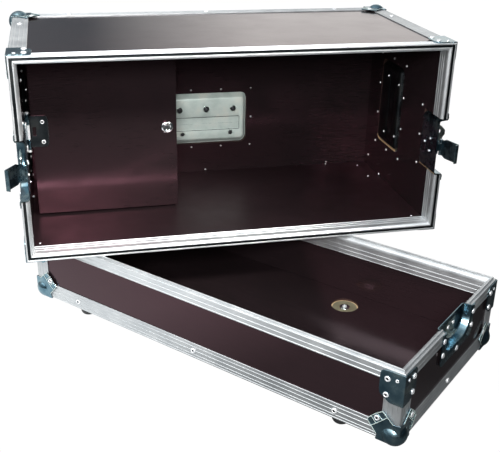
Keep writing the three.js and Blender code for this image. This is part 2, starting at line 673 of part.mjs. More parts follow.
// Rubber foot with a rounded lower edge, hanging from the floor board along local Y.
function footGeometry() {
  const top = TRAY_DEPTH - BOARD_IN + GAP;
  const bottom = TRAY_DEPTH + FOOT_HEIGHT;
  const profile = [new THREE.Vector2(0, top), new THREE.Vector2(FOOT_RADIUS, top)];
  const centre = new THREE.Vector2(FOOT_RADIUS - FOOT_ROUNDING, bottom - FOOT_ROUNDING);
  for (let step = 0; step <= 3; step += 1) {
    const angle = (step / 3) * (Math.PI / 2);
    const arm = new THREE.Vector2(Math.cos(angle), Math.sin(angle)).multiplyScalar(FOOT_ROUNDING);
    profile.push(centre.clone().add(arm));
  }
  profile.push(new THREE.Vector2(0, bottom));
  return turnedOut(new THREE.LatheGeometry(profile, 16));
}

function addFeet(group) {
  const geometry = footGeometry();
  const along = { left: FOOT_LEFT - HALF, right: HALF - FOOT_RIGHT };
  const across = { front: FOOT_ACROSS, back: WIDTH - FOOT_ACROSS };
  Object.entries(along).forEach(([end, x]) => {
    Object.entries(across).forEach(([side, z]) => {
      addPart(group, `tray_foot_${side}_${end}`, geometry, rubberMaterial).position.set(x, 0, z);
    });
  });
}

// The tray's local frame: X towards the near corner, Y down, Z across.
function addTray(parent) {
  const names = { closing: 'floor', sides: ['front', 'back'] };
  const group = new THREE.Group();
  const alongX = new THREE.Vector3(Math.cos(TRAY_YAW), -Math.sin(TRAY_YAW), 0);
  const alongZ = new THREE.Vector3(Math.sin(TRAY_YAW), Math.cos(TRAY_YAW), 0);
  const down = new THREE.Vector3(0, 0, -1);
  group.quaternion.setFromRotationMatrix(new THREE.Matrix4().makeBasis(alongX, down, alongZ));
  group.position.set(TRAY_NEAR_CORNER[0], TRAY_NEAR_CORNER[1], -GAP).addScaledVector(alongX, -HALF);
  parent.add(group);
  const { x, z, radius, depth } = FLOOR_RECESS;
  const inside = TRAY_DEPTH - WALL;
  addBoards(group, 'tray', names, TRAY_DEPTH, TONGUE_HEIGHT + RIM_WEB + GAP, {
    floor: [shaft(radius, x, z, [inside - 1, inside + depth], 28)],
    left: [dishNotch(-1, KEEPER_Z, KEEPER_DISH_LENGTH)],
    right: [dishNotch(1, KEEPER_Z, KEEPER_DISH_LENGTH)],
  });
  addPart(group, 'tray_rim_front', rimHalf(trayRimProfile(), KEEPER_Z, -1), railMaterial);
  addPart(group, 'tray_rim_back', rimHalf(trayRimProfile(), KEEPER_Z, 1), railMaterial);
  const frameStart = TONGUE_HEIGHT + RIM_OUTER_LEG + GAP;
  addPart(group, 'tray_edge_frame', edgeFrame(TRAY_DEPTH, frameStart), railMaterial);
  addCorners(group, 'tray', TRAY_DEPTH, TONGUE_HEIGHT, names);
  ['left', 'right'].forEach((end) => {
    addPart(endFaceGroup(group, end, KEEPER_Z), `tray_keeper_dish_${end}`, keeperDish(), zincMaterial);
  });
  addFeet(group);
}

const group = new THREE.Group();
addCase(group);
addTray(group);

// Origin on the ground in the middle of the whole object's box.
group.updateMatrixWorld(true);
const bounds = new THREE.Box3().setFromObject(group, true);
group.position.set(-(bounds.min.x + bounds.max.x) / 2, -(bounds.min.y + bounds.max.y) / 2, -bounds.min.z);

export default group;
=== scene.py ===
"""Looks of a two-part transport case with aluminium edges, standing open, built round its CAD frame.

Shapes are made in millimetres in a few local frames and placed by matrices whose last step turns them
into metres. Both halves share one kind of frame: X along the length with its zero in the middle, Y from
the rim into the half, Z across the opening.
"""
import math

import bmesh
import bpy
from mathutils import Matrix, Vector
from mathutils.geometry import tessellate_polygon


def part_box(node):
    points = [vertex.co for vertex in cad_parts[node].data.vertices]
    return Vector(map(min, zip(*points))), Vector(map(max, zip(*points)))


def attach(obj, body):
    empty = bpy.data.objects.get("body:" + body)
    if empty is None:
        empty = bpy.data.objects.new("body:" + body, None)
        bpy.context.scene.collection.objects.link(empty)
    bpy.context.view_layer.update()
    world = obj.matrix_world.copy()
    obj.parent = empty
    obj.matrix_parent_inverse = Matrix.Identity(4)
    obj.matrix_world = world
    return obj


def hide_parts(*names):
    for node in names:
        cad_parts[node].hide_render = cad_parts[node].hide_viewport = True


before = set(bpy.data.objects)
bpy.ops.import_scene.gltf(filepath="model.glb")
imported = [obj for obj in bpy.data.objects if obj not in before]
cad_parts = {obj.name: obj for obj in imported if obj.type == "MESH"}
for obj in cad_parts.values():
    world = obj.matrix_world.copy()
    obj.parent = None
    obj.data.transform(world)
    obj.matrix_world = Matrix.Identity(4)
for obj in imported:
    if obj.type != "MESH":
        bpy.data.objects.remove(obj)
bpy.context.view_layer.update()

# Driving sizes of the two halves.
LENGTH = 760
WIDTH = 357
HALF = LENGTH / 2
CASE_DEPTH = 370
TRAY_DEPTH = 128
TRAY_YAW = math.radians(48.42)
SKIN = 1.5
GAP = 0.3
FACE = SKIN + GAP
BOARD = 9.5
WALL = FACE + BOARD
LINING = WALL + GAP

# Aluminium extrusions.
EDGE_LEG = 30
RIM_OUTER_LEG = 20
RIM_INNER_LEG = 34
RIM_WEB = 6.5
TONGUE_HEIGHT = 4
RIB_PITCH = 7.5
RIB_HALF = 0.7
RIB_DROP = 0.6
BEND = 2.5
GROOVE_SHADE_FACES = range(2, 5)

# Corner hardware and rivets.
BALL_RADIUS = 19.8
BALL_INSET = 12
PETAL_RIVET = 36
BRACE_WIDTH = 38
BRACE_LENGTH = 53
BRACE_FROM_RIM = 2
RIVET_RADIUS = 4.7
SMALL_RIVET = 2.8
POST_RIVET = 105
EDGE_RIVET_X = (-273, 0, 273)

# End dishes and the latch, measured from the dish centre line and the outer face.
LATCH_Z = 165
KEEPER_Z = WIDTH - LATCH_Z
DISH_DEPTH = 14
DISH_HALF = 52
DISH_FLANGE_HALF = 64
LATCH_DISH = {"length": 72, "flange": 95, "radius": 10}
KEEPER_DISH = {"length": 50, "flange": 64, "radius": 31}
SPINDLE_Y = 41
DISH_RIVET_Z = 58
ROTOR_RADIUS = 19
ROTOR_X = (-11.4, -7.4)
DRAWBAR_X = (-13.7, -11.7)
PIN_RADIUS = 1.5
PIN_HOLE = 1.7
KEY_PIVOT = (-5, 53)
KEY_HALF = 26
KEY_HEIGHT = 26
KEY_FOLD = {"right": 0, "left": math.radians(90)}
HOOK_PIVOT = (-6, 4)
HOOK_HALF = 18
HOOK_LENGTH = 46
HOOK_LIP = 7
HOOK_TILT = {"right": math.radians(17), "left": math.radians(32)}

# Recessed handles: half sizes across and along.
HANDLE_FLANGE = (70, 106.5)
HANDLE_MOUTH = (54, 86)
HANDLE_FLOOR = (45, 80.5)
STRIP = {"y": -10.3, "half_y": 13.8, "half_z": 71}
GRIP_PIVOT = (-7, 30)
GRIP_BAR_Y = -22
GRIP_HALF = 58
GRIP_RADIUS = 6.5
HANDLE_RIVETS = [(y, z) for y in (-63, 63) for z in (-97, -32.3, 32.3, 97)] + [(0, -98), (0, 98)]
END_HANDLE_Y = 237
BACK_HANDLE_Z = 131

# Door, hinge and lock in the case.
DOOR_X = (-357, -91)
DOOR_Y = 174
DOOR_Z = (15.3, WIDTH - 15.3)
HINGE = {"x": -364, "y": 170, "low": 150, "high": 209, "radius": 3.2, "knuckle": 16}
LOCK = {"x": -109, "z": 175, "bezel": 12, "body": 8, "plug": 5.5}

# Feet and the bolt recess in the tray floor.
FOOT_RADIUS = 16
FOOT_HEIGHT = 38
FOOT_ALONG = {"right": HALF - 118, "left": 84 - HALF}
FOOT_ACROSS = {"front": 47, "back": WIDTH - 47}
FLOOR_RECESS = {"x": 126, "z": 296, "radius": 25, "depth": 4}

# Middle of the pale card on the studio floor, and the camera, in metres, degrees and millimetres of lens.
CARD_MIDDLE = (-0.6, 0, 0)
CAMERA_PLACE = (-0.3093, -1.2813, 0.8162)
CAMERA_TURN = (65.594, -1.205, -13.193)
LENS = 59.01
SENSOR = 36

X, Y, Z = (Vector(axis) for axis in ((1, 0, 0), (0, 1, 0), (0, 0, 1)))
TRAY_ALONG = Vector((math.cos(TRAY_YAW), -math.sin(TRAY_YAW), 0))
TRAY_ACROSS = Vector((math.sin(TRAY_YAW), math.cos(TRAY_YAW), 0))
TO_METRES = Matrix.Scale(0.001, 4)


# ---------------------------------------------------------------- local frames

def axes(x, y, z, origin=(0, 0, 0)):
    """Matrix whose columns are the given directions."""
    return Matrix.Translation(origin) @ Matrix((x, y, z)).transposed().to_4x4()


def case_frame():
    low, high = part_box("case_edge_frame")
    origin = ((low.x + high.x) / 2, high.y - CASE_DEPTH / 1000, low.z)
    return Matrix.Translation(origin) @ TO_METRES


def tray_frame():
    low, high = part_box("tray_edge_frame")
    middle = Vector(((low.x + high.x) / 2, (low.y + high.y) / 2, low.z + TRAY_DEPTH / 1000))
    origin = middle - TRAY_ACROSS * (WIDTH / 2000)
    return axes(TRAY_ALONG, -Z, TRAY_ACROSS, origin) @ TO_METRES


CASE = case_frame()
TRAY = tray_frame()
UPRIGHT = axes(Y, Z, X)
HALVES = {
    "case": {"place": CASE, "depth": CASE_DEPTH, "rim": 0, "dish_z": LATCH_Z, "sides": ("bottom", "top")},
    "tray": {"place": TRAY, "depth": TRAY_DEPTH, "rim": TONGUE_HEIGHT, "dish_z": KEEPER_Z,
             "sides": ("front", "back")},
}
SIGNS = {"left": -1, "right": 1}


def long_sides(half):
    """Name, Z and inward direction of the two long sides of a half."""
    return tuple(zip(half["sides"], (0, WIDTH), (1, -1)))


def end_frame(end, z):
    """Frame on an end face: X outward, Y from the rim, Z across."""
    place = Matrix.Translation((SIGNS[end] * HALF, 0, z))
    return place if end == "right" else place @ Matrix.Rotation(math.pi, 4, "Y")


def corner_frame(x, y, z, sx, sy, sz):
    """Frame at a box corner whose octant has the given signs, kept right-handed by swapping X and Z."""
    if sx * sy * sz > 0:
        return axes(X * sx, Y * sy, Z * sz, (x, y, z))
    return axes(Z * sz, Y * sy, X * sx, (x, y, z))


def handle_frames():
    """Frames of the recessed handles: X outward, Z along the handle, the pivot towards +Y."""
    return {
        "right": Matrix.Translation((HALF, END_HANDLE_Y, WIDTH / 2)),
        "left": Matrix.Translation((-HALF, END_HANDLE_Y, WIDTH / 2)) @ Matrix.Rotation(math.pi, 4, "Y"),
        "back": Matrix.Translation((0, CASE_DEPTH, BACK_HANDLE_Z)) @ UPRIGHT,
    }


def facing(point, normal):
    """Frame at a point with its Z along the normal."""
    return Matrix.Translation(point) @ Vector(normal).to_track_quat("Z", "Y").to_matrix().to_4x4()


# ---------------------------------------------------------------- shapes

class Shape:
    """Points and faces, each face with the number of its material."""

    def __init__(self, points=(), faces=(), slot=0):
        self.points = [Vector(point) for point in points]
        self.faces = [tuple(face) for face in faces]
        self.slots = [slot] * len(self.faces)

    def add(self, other, place=None):
        start = len(self.points)
        self.points += [place @ point for point in other.points] if place else list(other.points)
        self.faces += [tuple(start + index for index in face) for face in other.faces]
        self.slots += other.slots
        return self

    def at(self, place):
        """A copy moved by a matrix."""
        return Shape().add(self, place)


def together(*shapes):
    whole = Shape()
    for shape in shapes:
        whole.add(shape)
    return whole


def rounded(corners, steps=5):
    """Outline of (a, b, radius) corners with each corner rounded."""
    outline = []
    for index, (a, b, radius) in enumerate(corners):
        corner = Vector((a, b))
        before = Vector(corners[index - 1][:2]) - corner
        after = Vector(corners[(index + 1) % len(corners)][:2]) - corner
        if not radius:
            outline.append(corner)
            continue
        reach = radius / math.tan(before.angle(after) / 2)
        start = corner + before.normalized() * min(reach, before.length * 0.49)
        end = corner + after.normalized() * min(reach, after.length * 0.49)
        for step in range(steps + 1):
            t = step / steps
            outline.append(start * (1 - t) ** 2 + corner * (2 * t * (1 - t)) + end * t ** 2)
    return outline


def rectangle(a0, a1, b0, b1, radius=0.0, steps=5):
    return rounded([(a0, b0, radius), (a1, b0, radius), (a1, b1, radius), (a0, b1, radius)], steps)


def mirrored(corners):
    """The corners of half an outline and then of its other half, across b = 0."""
    return corners + [(a, -b, radius) for a, b, radius in reversed(corners) if b]


def circle(radius, a=0.0, b=0.0, sides=32):
    turns = [2 * math.pi * side / sides for side in range(sides)]
    return [Vector((a + radius * math.cos(turn), b + radius * math.sin(turn))) for turn in turns]


def plate(outline, low, high, holes=()):
    """Flat plate in the X-Y plane from z = low to z = high, with holes through it."""
    loops = [list(outline)] + [list(hole) for hole in holes]
    flat = [point for loop in loops for point in loop]
    count = len(flat)
    points = [(p.x, p.y, z) for z in (low, high) for p in flat]
    faces = []
    for a, b, c in tessellate_polygon([[Vector((p.x, p.y, 0)) for p in loop] for loop in loops]):
        faces += [(a, b, c), (count + c, count + b, count + a)]
    start = 0
    for loop in loops:
        size = len(loop)
        for index in range(size):
            a, b = start + index, start + (index + 1) % size
            faces.append((a, b, count + b, count + a))
        start += size
    return Shape(points, faces)


def loft(loops, closed=True, caps=True):
    """Skin over loops with the same number of points; closed says that each loop closes on itself."""
    count = len(loops[0])
    points = [point for loop in loops for point in loop]
    faces = []
    for ring in range(len(loops) - 1):
        for index in range(count if closed else count - 1):
            a, b = ring * count + index, ring * count + (index + 1) % count
            faces.append((a, b, b + count, a + count))
    if caps:
        last = (len(loops) - 1) * count
        faces += [tuple(range(count)), tuple(range(last, last + count))]
    return Shape(points, faces)


def turned(profile, sides):
    """A circle round Z for each (radius, z) point."""
    return [[Vector((p.x, p.y, z)) for p in circle(radius, sides=sides)] for radius, z in profile]


def tube(profile, sides):
    """Body turned round Z from a closed outline of (radius, z) points that stays off the axis."""
    return loft(turned(profile + profile[:1], sides), caps=False)


def revolve(profile, segments=32, core=0):
    """Body turned round Z from (radius, z) points that start and end on the axis.
    The last core bands are in material 1."""
    loops = turned(profile[1:-1], segments)
    body = loft(loops, caps=False)
    first, last = len(body.points), len(body.points) + 1
    body.points += [Vector((0, 0, profile[0][1])), Vector((0, 0, profile[-1][1]))]
    top = (len(loops) - 1) * segments
    for index in range(segments):
        after = (index + 1) % segments
        body.faces += [(first, after, index), (last, top + index, top + after)]
    bands = len(loops) - 1
    body.slots = [int(ring >= bands - core) for ring in range(bands) for _ in range(segments)]
    body.slots += [0, int(core > 0)] * segments
    return body


def bar(radius, start, end, sides=20, edge=0.5):
    """Round bar between two points with softened ends."""
    start, end = Vector(start), Vector(end)
    length = (end - start).length
    profile = [(0, 0), (radius - edge, 0), (radius, edge), (radius, length - edge),
               (radius - edge, length), (0, length)]
    return revolve(profile, sides).at(facing(start, end - start))


def wire(path, radius):
    """Round wire along a path of points."""
    path = [Vector(point) for point in path]
    side = None
    loops = []
    for index, point in enumerate(path):
        ahead = (path[min(index + 1, len(path) - 1)] - path[max(index - 1, 0)]).normalized()
        side = ahead.orthogonal() if side is None else side - ahead * side.dot(ahead)
        side.normalize()
        up = ahead.cross(side)
        loops.append([point + (side * p.x + up * p.y) for p in circle(radius, sides=8)])
    return loft(loops)


def extrusion(profile, corner, along, u, v, span, mitre):
    """Straight length of a profile of (a, b) points, a along u and b along v.
    mitre gives, for each end, how far a point is set back."""
    near, far = mitre
    corner, along, u, v = Vector(corner), Vector(along), Vector(u), Vector(v)
    loops = []
    for t, back in ((span[0], near), (span[1], far)):
        sign = 1 if t == span[0] else -1
        loops.append([corner + u * a + v * b + along * (t + sign * back(a, b)) for a, b in profile])
    return loft(loops)


# ---------------------------------------------------------------- Blender objects

def mesh_of(name, shape, place=Matrix.Identity(4)):
    mesh = bpy.data.meshes.new(name)
    mesh.from_pydata([place @ point for point in shape.points], [], shape.faces)
    mesh.polygons.foreach_set("material_index", shape.slots)
    work = bmesh.new()
    work.from_mesh(mesh)
    bmesh.ops.recalc_face_normals(work, faces=work.faces)
    work.to_mesh(mesh)
    work.free()
    return mesh


def assign(thing, settings):
    for key, value in settings.items():
        setattr(thing, key, value)


def bake(item, *steps):
    """Changes the item's mesh by modifiers, each given as (kind, settings)."""
    for kind, settings in steps:
        assign(item.modifiers.new(kind, kind), settings)
    graph = bpy.context.evaluated_depsgraph_get()
    mesh = bpy.data.meshes.new_from_object(item.evaluated_get(graph))
    plain = item.data
    item.modifiers.clear()
    item.data = mesh
    bpy.data.meshes.remove(plain)


def linked(name, mesh):
    item = bpy.data.objects.new(name, mesh)
    bpy.context.scene.collection.objects.link(item)
    return item


def shade(mesh, angle):
    mesh.shade_smooth()
    mesh.set_sharp_from_angle(angle=math.radians(angle))


def piece(name, shape, place, body, slot, materials, replaces=(), bevel=0.0, sheet=0.0, angle=35, trim=-1):
    """One visible piece. Bevel and sheet thickness are in millimetres; trim is the bevels' material."""
    item = linked(name, mesh_of(name, shape, place))
    for material in materials:
        item.data.materials.append(material)
    if sheet:
        bake(item, ("SOLIDIFY", {"thickness": sheet / 1000, "offset": 0,
                                 "material_offset": len(materials) - 1}))
    if bevel:
        bake(item, ("BEVEL", {"width": bevel / 1000, "segments": 2, "limit_method": "ANGLE",
                              "angle_limit": math.radians(40), "material": trim}))
    shade(item.data, angle)
    if bevel:
        bake(item, ("WEIGHTED_NORMAL", {"keep_sharp": True}))
    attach(item, body)
    if replaces:
        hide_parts(*replaces)


def hardware(name, shape, place, body, metals, replaces=(), **finish):
    """One visible piece of plated steel."""
    piece(name, shape, place, body, "zinc_hardware", metals, replaces, **finish)


def shape_of(mesh):
    return Shape([v.co.copy() for v in mesh.vertices], [tuple(p.vertices) for p in mesh.polygons])


def modified(shape, *steps):
    """The shape after modifiers, each given as (kind, settings)."""
    item = linked("work", mesh_of("work", shape))
    bake(item, *steps)
    result = shape_of(item.data)
    bpy.data.objects.remove(item)
    return result


def cut(shape, tool):
    """The shape without the tool's space."""
    other = linked("tool", mesh_of("tool", tool))
    result = modified(shape, ("BOOLEAN", {"operation": "DIFFERENCE", "object": other, "solver": "EXACT"}))
    bpy.data.objects.remove(other)
    return result


def fused(shape, grain, rounds, keep):
    """Overlapping closed bodies as one pressed body with soft edges."""
    return modified(
        shape,
        ("REMESH", {"mode": "VOXEL", "voxel_size": grain}),
        ("SMOOTH", {"factor": 0.5, "iterations": rounds}),
        ("DECIMATE", {"ratio": keep}),
    )


def cuboid(x, y, z):
    return plate(rectangle(*x, *y), *z)


# ---------------------------------------------------------------- materials

def new_material(name):
    material = bpy.data.materials.new(name)
    material.use_nodes = True
    tree = material.node_tree
    return material, tree, tree.nodes["Principled BSDF"]


def feed(tree, node, inputs):
    """Gives a node's inputs their links and values."""
    for key, value in inputs.items():
        if isinstance(value, bpy.types.NodeSocket):
            tree.links.new(value, node.inputs[key])
        else:
            node.inputs[key].default_value = value


def add_node(tree, kind, inputs=None, **settings):
    made = tree.nodes.new(kind)
    assign(made, settings)
    feed(tree, made, inputs or {})
    return made


def object_position(tree):
    return add_node(tree, "ShaderNodeTexCoord").outputs["Object"]


def calc(tree, operation, first, second=0.0):
    return add_node(tree, "ShaderNodeMath", {0: first, 1: second}, operation=operation).outputs[0]


def along_axis(tree, vector, axis):
    """How far a position or normal reaches along an axis."""
    node = add_node(tree, "ShaderNodeVectorMath", {0: vector, 1: tuple(axis)}, operation="DOT_PRODUCT")
    return node.outputs["Value"]


def noise(tree, vector, scale, detail=3.0, roughness=0.5, offset=0.0):
    moved = add_node(tree, "ShaderNodeVectorMath", {0: vector, 1: (offset, offset * 0.7, -offset)},
                     operation="ADD").outputs[0]
    node = add_node(tree, "ShaderNodeTexNoise",
                    {"Vector": moved, "Scale": scale, "Detail": detail, "Roughness": roughness})
    return node.outputs["Fac"]


def stretched(tree, vector, axis, factor):
    """The position squeezed along an axis, so that a noise runs in streaks along it."""
    less = calc(tree, "MULTIPLY", along_axis(tree, vector, axis), factor - 1)
    back = add_node(tree, "ShaderNodeVectorMath", {0: tuple(axis), "Scale": less}, operation="SCALE")
    node = add_node(tree, "ShaderNodeVectorMath", {0: vector, 1: back.outputs[0]}, operation="ADD")
    return node.outputs[0]


def spread(tree, value, low, high, start=0.3, end=0.7):
    """A value between start and end brought to the range from low to high."""
    node = add_node(tree, "ShaderNodeMapRange",
                    {"Value": value, "From Min": start, "From Max": end, "To Min": low, "To Max": high})
    return node.outputs["Result"]


def tint(tree, value, *stops):
    """A colour ramp over (position, colour) stops."""
    node = add_node(tree, "ShaderNodeValToRGB", {"Fac": value})
    ramp = node.color_ramp
    while len(ramp.elements) < len(stops):
        ramp.elements.new(0.5)
    for element, (position, colour) in zip(ramp.elements, stops):
        element.position = position
        element.color = (*colour, 1)
    return node.outputs["Color"]


def mix(tree, factor, first, second):
    """Two colours mixed; the factor and colour sockets are found by their numbers."""
    node = add_node(tree, "ShaderNodeMix", {0: factor, 6: first, 7: second}, data_type="RGBA")
    return node.outputs[2]


def relief(tree, shader, height, distance):
    bump = add_node(tree, "ShaderNodeBump", {"Height": height, "Distance": distance, "Strength": 1.0})
    feed(tree, shader, {"Normal": bump.outputs["Normal"]})


# How rough the film is, from and to, on clean boards and on the floor that equipment slides over,
# and the thickness of a pair of birch layers in metres.
SMOOTH = (0.12, 0.2)
SCUFFED = (0.34, 0.46)
LAYER = 0.0027


def film_board(name, axis, reach, haze=SMOOTH):
    """Glossy phenolic film on both faces of birch plywood. Its layers show on edges that face up, except
    on boards across Y; other edges carry painted shade, near black, as edges turned away from the light
    above.
    reach is the board's lowest and highest place along the axis, in metres."""
    material, tree, shader = new_material(name)
    place = add_node(tree, "ShaderNodeTexCoord")
    position, normal = place.outputs["Object"], place.outputs["Normal"]
    middle, half = (reach[0] + reach[1]) / 2, (reach[1] - reach[0]) / 2
    off_middle = calc(tree, "SUBTRACT", along_axis(tree, position, axis), middle)
    near_face = calc(tree, "GREATER_THAN", calc(tree, "ABSOLUTE", off_middle), half - 0.0004)
    faces_out = calc(tree, "GREATER_THAN", calc(tree, "ABSOLUTE", along_axis(tree, normal, axis)), 0.7)
    is_film = calc(tree, "MULTIPLY", near_face, faces_out)

    cloud = noise(tree, position, 5.0, detail=4)
    fibres = noise(tree, stretched(tree, position, TRAY_ALONG if "tray" in name else X, 0.08), 420.0)
    film = tint(tree, cloud, (0.3, (0.007, 0.0052, 0.0056)), (0.7, (0.0098, 0.0068, 0.0076)))
    film = mix(tree, spread(tree, fibres, 0.0, 0.3), film, (0.0165, 0.0096, 0.0108, 1))

    layer = calc(tree, "FRACT", calc(tree, "MULTIPLY", off_middle, 1 / LAYER))
    grain = noise(tree, position, 160.0, detail=5)
    birch = tint(tree, calc(tree, "ADD", layer, calc(tree, "MULTIPLY", grain, 0.25)),
                 (0.1, (0.62, 0.43, 0.23)), (0.55, (0.70, 0.52, 0.30)), (0.62, (0.42, 0.26, 0.13)),
                 (0.95, (0.50, 0.33, 0.17)))
    # Painted shade: edges that do not face up, and all edges of boards across Y, are darkened to near black.
    lit_edge = 0.0 if axis == Y else spread(tree, along_axis(tree, normal, Z), 0, 1, 0.3, 0.6)
    birch = mix(tree, lit_edge, (0.026, 0.018, 0.013, 1), birch)
    colour = mix(tree, is_film, birch, film)
    film_rough = spread(tree, noise(tree, position, 14.0, offset=3.1), *haze)
    rough = calc(tree, "ADD", calc(tree, "MULTIPLY", is_film, calc(tree, "SUBTRACT", film_rough, 0.7)), 0.7)
    feed(tree, shader, {"Base Color": colour, "Roughness": rough, "IOR": 1.5, "Specular IOR Level": 0.4,
                        "Specular Tint": (1.0, 0.38, 0.5, 1)})
    relief(tree, shader, calc(tree, "ADD", fibres, calc(tree, "MULTIPLY", cloud, 4.0)), 0.00002)
    return material


def aluminium(name, axis, low, high):
    """Drawn aluminium with fine lines along its length and dull smudges between two brightnesses."""
    material, tree, shader = new_material(name)
    position = object_position(tree)
    lines = noise(tree, stretched(tree, position, axis, 0.01), 900.0, detail=4, roughness=0.6)
    smudge = noise(tree, position, 22.0, detail=5, roughness=0.6)
    dull = (low * 0.97, low * 1.01, low * 1.03)
    colour = tint(tree, smudge, (0.3, dull), (0.7, (high * 0.98, high, high)))
    colour = mix(tree, spread(tree, lines, 0, 0.4), colour, (*(part * 0.8 for part in dull), 1))
    rough = calc(tree, "ADD", spread(tree, smudge, 0.40, 0.52), spread(tree, lines, 0, 0.06))
    feed(tree, shader, {"Base Color": colour, "Roughness": rough, "Metallic": 0.94})
    relief(tree, shader, lines, 0.00003)
    return material


def aluminium_runs(name, directions, low, high):
    """One aluminium for each direction in which the lengths of a half run."""
    return {run: aluminium(f"{name}_{run}", axis, low, high)
            for run, axis in zip(("along", "into", "across"), directions)}


def plated(name, dark, light, warm, rough=(0.18, 0.34), wear_and_glint=None, metallic=1):
    """Zinc plating whose passivation drifts between a cool and a warm tone. A pale colour shows on
    convex edges, partly wear and partly a painted highlight where edges catch the light."""
    material, tree, shader = new_material(name)
    position = object_position(tree)
    drift = noise(tree, position, 38.0, detail=4, roughness=0.55)
    speck = noise(tree, position, 900.0, detail=2, offset=1.7)
    colour = tint(tree, drift, (0.3, dark), (0.52, light), (0.7, warm))
    colour = mix(tree, spread(tree, speck, 0, 0.25), colour, (*dark, 1))
    if wear_and_glint:
        # Pale convex edges: partly wear, partly a painted highlight.
        edge = add_node(tree, "ShaderNodeNewGeometry").outputs["Pointiness"]
        colour = mix(tree, spread(tree, edge, 0, 0.8, 0.53, 0.6), colour, (*wear_and_glint, 1))
    roughness = calc(tree, "ADD", spread(tree, drift, *rough), spread(tree, speck, 0, 0.06))
    feed(tree, shader, {"Base Color": colour, "Roughness": roughness, "Metallic": metallic})
    relief(tree, shader, speck, 0.00005)
    return material


def rubber(name, colour, scale):
    """Moulded rubber, finely pebbled and a little dusty."""
    material, tree, shader = new_material(name)
    position = object_position(tree)
    pebble = noise(tree, position, scale, detail=3)
    dust = noise(tree, position, 45.0, detail=5, offset=2.3)
    dusty = tuple(min(1, c * 2.6 + 0.008) for c in colour)
    feed(tree, shader, {"Base Color": tint(tree, dust, (0.4, colour), (0.75, dusty)),
                        "Roughness": spread(tree, dust, 0.5, 0.75)})
    relief(tree, shader, pebble, 0.0002)
    return material


def painted_hole_shade():
    """Painted shade: dark steel inside rivets, screw drives and other holes and gaps, where they would lie in
    shadow.
    """
    material, tree, shader = new_material("painted_hole_shade")
    position = object_position(tree)
    mottle = noise(tree, position, 700.0, detail=3)
    colour = tint(tree, mottle, (0.3, (0.012, 0.013, 0.015)), (0.7, (0.05, 0.052, 0.056)))
    feed(tree, shader, {"Base Color": colour, "Roughness": spread(tree, mottle, 0.35, 0.6), "Metallic": 0.6})
    return material


def pale_floor():
    """White studio floor seen as a plain white backdrop. What it gives back to the object comes from a
    pale card in front of it and falls off round that."""
    material, tree, shader = new_material("pale_floor")
    tree.nodes.remove(shader)
    place = object_position(tree)
    patch = noise(tree, place, 1.5, detail=3)
    away = add_node(tree, "ShaderNodeVectorMath", {0: place, 1: CARD_MIDDLE}, operation="DISTANCE")
    reach = calc(tree, "ADD", away.outputs["Value"], calc(tree, "MULTIPLY", patch, 0.15))
    card = calc(tree, "MULTIPLY", spread(tree, reach, 1, 0, 0.32, 0.62), 1.2)
    across = spread(tree, along_axis(tree, place, X), 0.42, 0.05, -0.35, 0.35)
    ground = calc(tree, "MULTIPLY", across, spread(tree, along_axis(tree, place, Y), 0.15, 1, -0.9, -0.5))
    strength = calc(tree, "ADD", card, ground)
    given = add_node(tree, "ShaderNodeEmission", {"Color": (0.95, 0.98, 1.0, 1), "Strength": strength})
    backdrop = add_node(tree, "ShaderNodeEmission", {"Color": (1, 1, 1, 1), "Strength": 1.02})
    seen = add_node(tree, "ShaderNodeLightPath").outputs["Is Camera Ray"]
    choice = add_node(tree, "ShaderNodeMixShader", {0: seen, 1: given.outputs[0], 2: backdrop.outputs[0]})
    feed(tree, tree.nodes["Material Output"], {"Surface": choice.outputs[0]})
    return material


CASE_RUNS = (X, Y, Z)
TRAY_RUNS = (TRAY_ALONG, Z, TRAY_ACROSS)
# Lit and shaded copies of one aluminium: the case rim is painted bright, while the tray rim, the case rim's
# end lengths and the edge angles are painted duller, as shade.
RIM_METAL_LIT_AND_SHADED = {"case": aluminium_runs("case_rim_aluminium", CASE_RUNS, 0.84, 0.96),
             "tray": aluminium_runs("tray_rim_aluminium", TRAY_RUNS, 0.5, 0.68)}
RIM_METAL_LIT_AND_SHADED["case"]["across"] = aluminium("case_rim_aluminium_ends_painted_shade", Z, 0.48, 0.64)
EDGE_METAL_LIT_AND_SHADED = {"case": aluminium_runs("case_edge_aluminium", CASE_RUNS, 0.48, 0.66),
              "tray": aluminium_runs("tray_edge_aluminium", TRAY_RUNS, 0.44, 0.6)}
ZINC_TONES = (0.06, 0.12, 0.16), (0.15, 0.24, 0.28), (0.28, 0.35, 0.35)
ZINC = plated("zinc_plating", *ZINC_TONES, rough=(0.16, 0.3))
# Zinc with pale edges: partly wear, partly painted highlight.
WORN_AND_GLINT_ZINC = plated("zinc_plating_wear_and_glint", *ZINC_TONES, rough=(0.14, 0.28), wear_and_glint=(0.8, 0.82, 0.84))
# Painted shade: near black zinc for the rims' grooves, the end handle pans' inner faces and the door's hinge
# leaf.
PAINTED_SHADE_ZINC = plated("painted_shade_zinc", (0.018, 0.022, 0.025), (0.032, 0.037, 0.04), (0.046, 0.048, 0.046),
                    rough=(0.3, 0.45))
BRIGHT_ZINC = plated("bright_zinc_plating", (0.46, 0.53, 0.52), (0.58, 0.64, 0.60), (0.66, 0.68, 0.60))
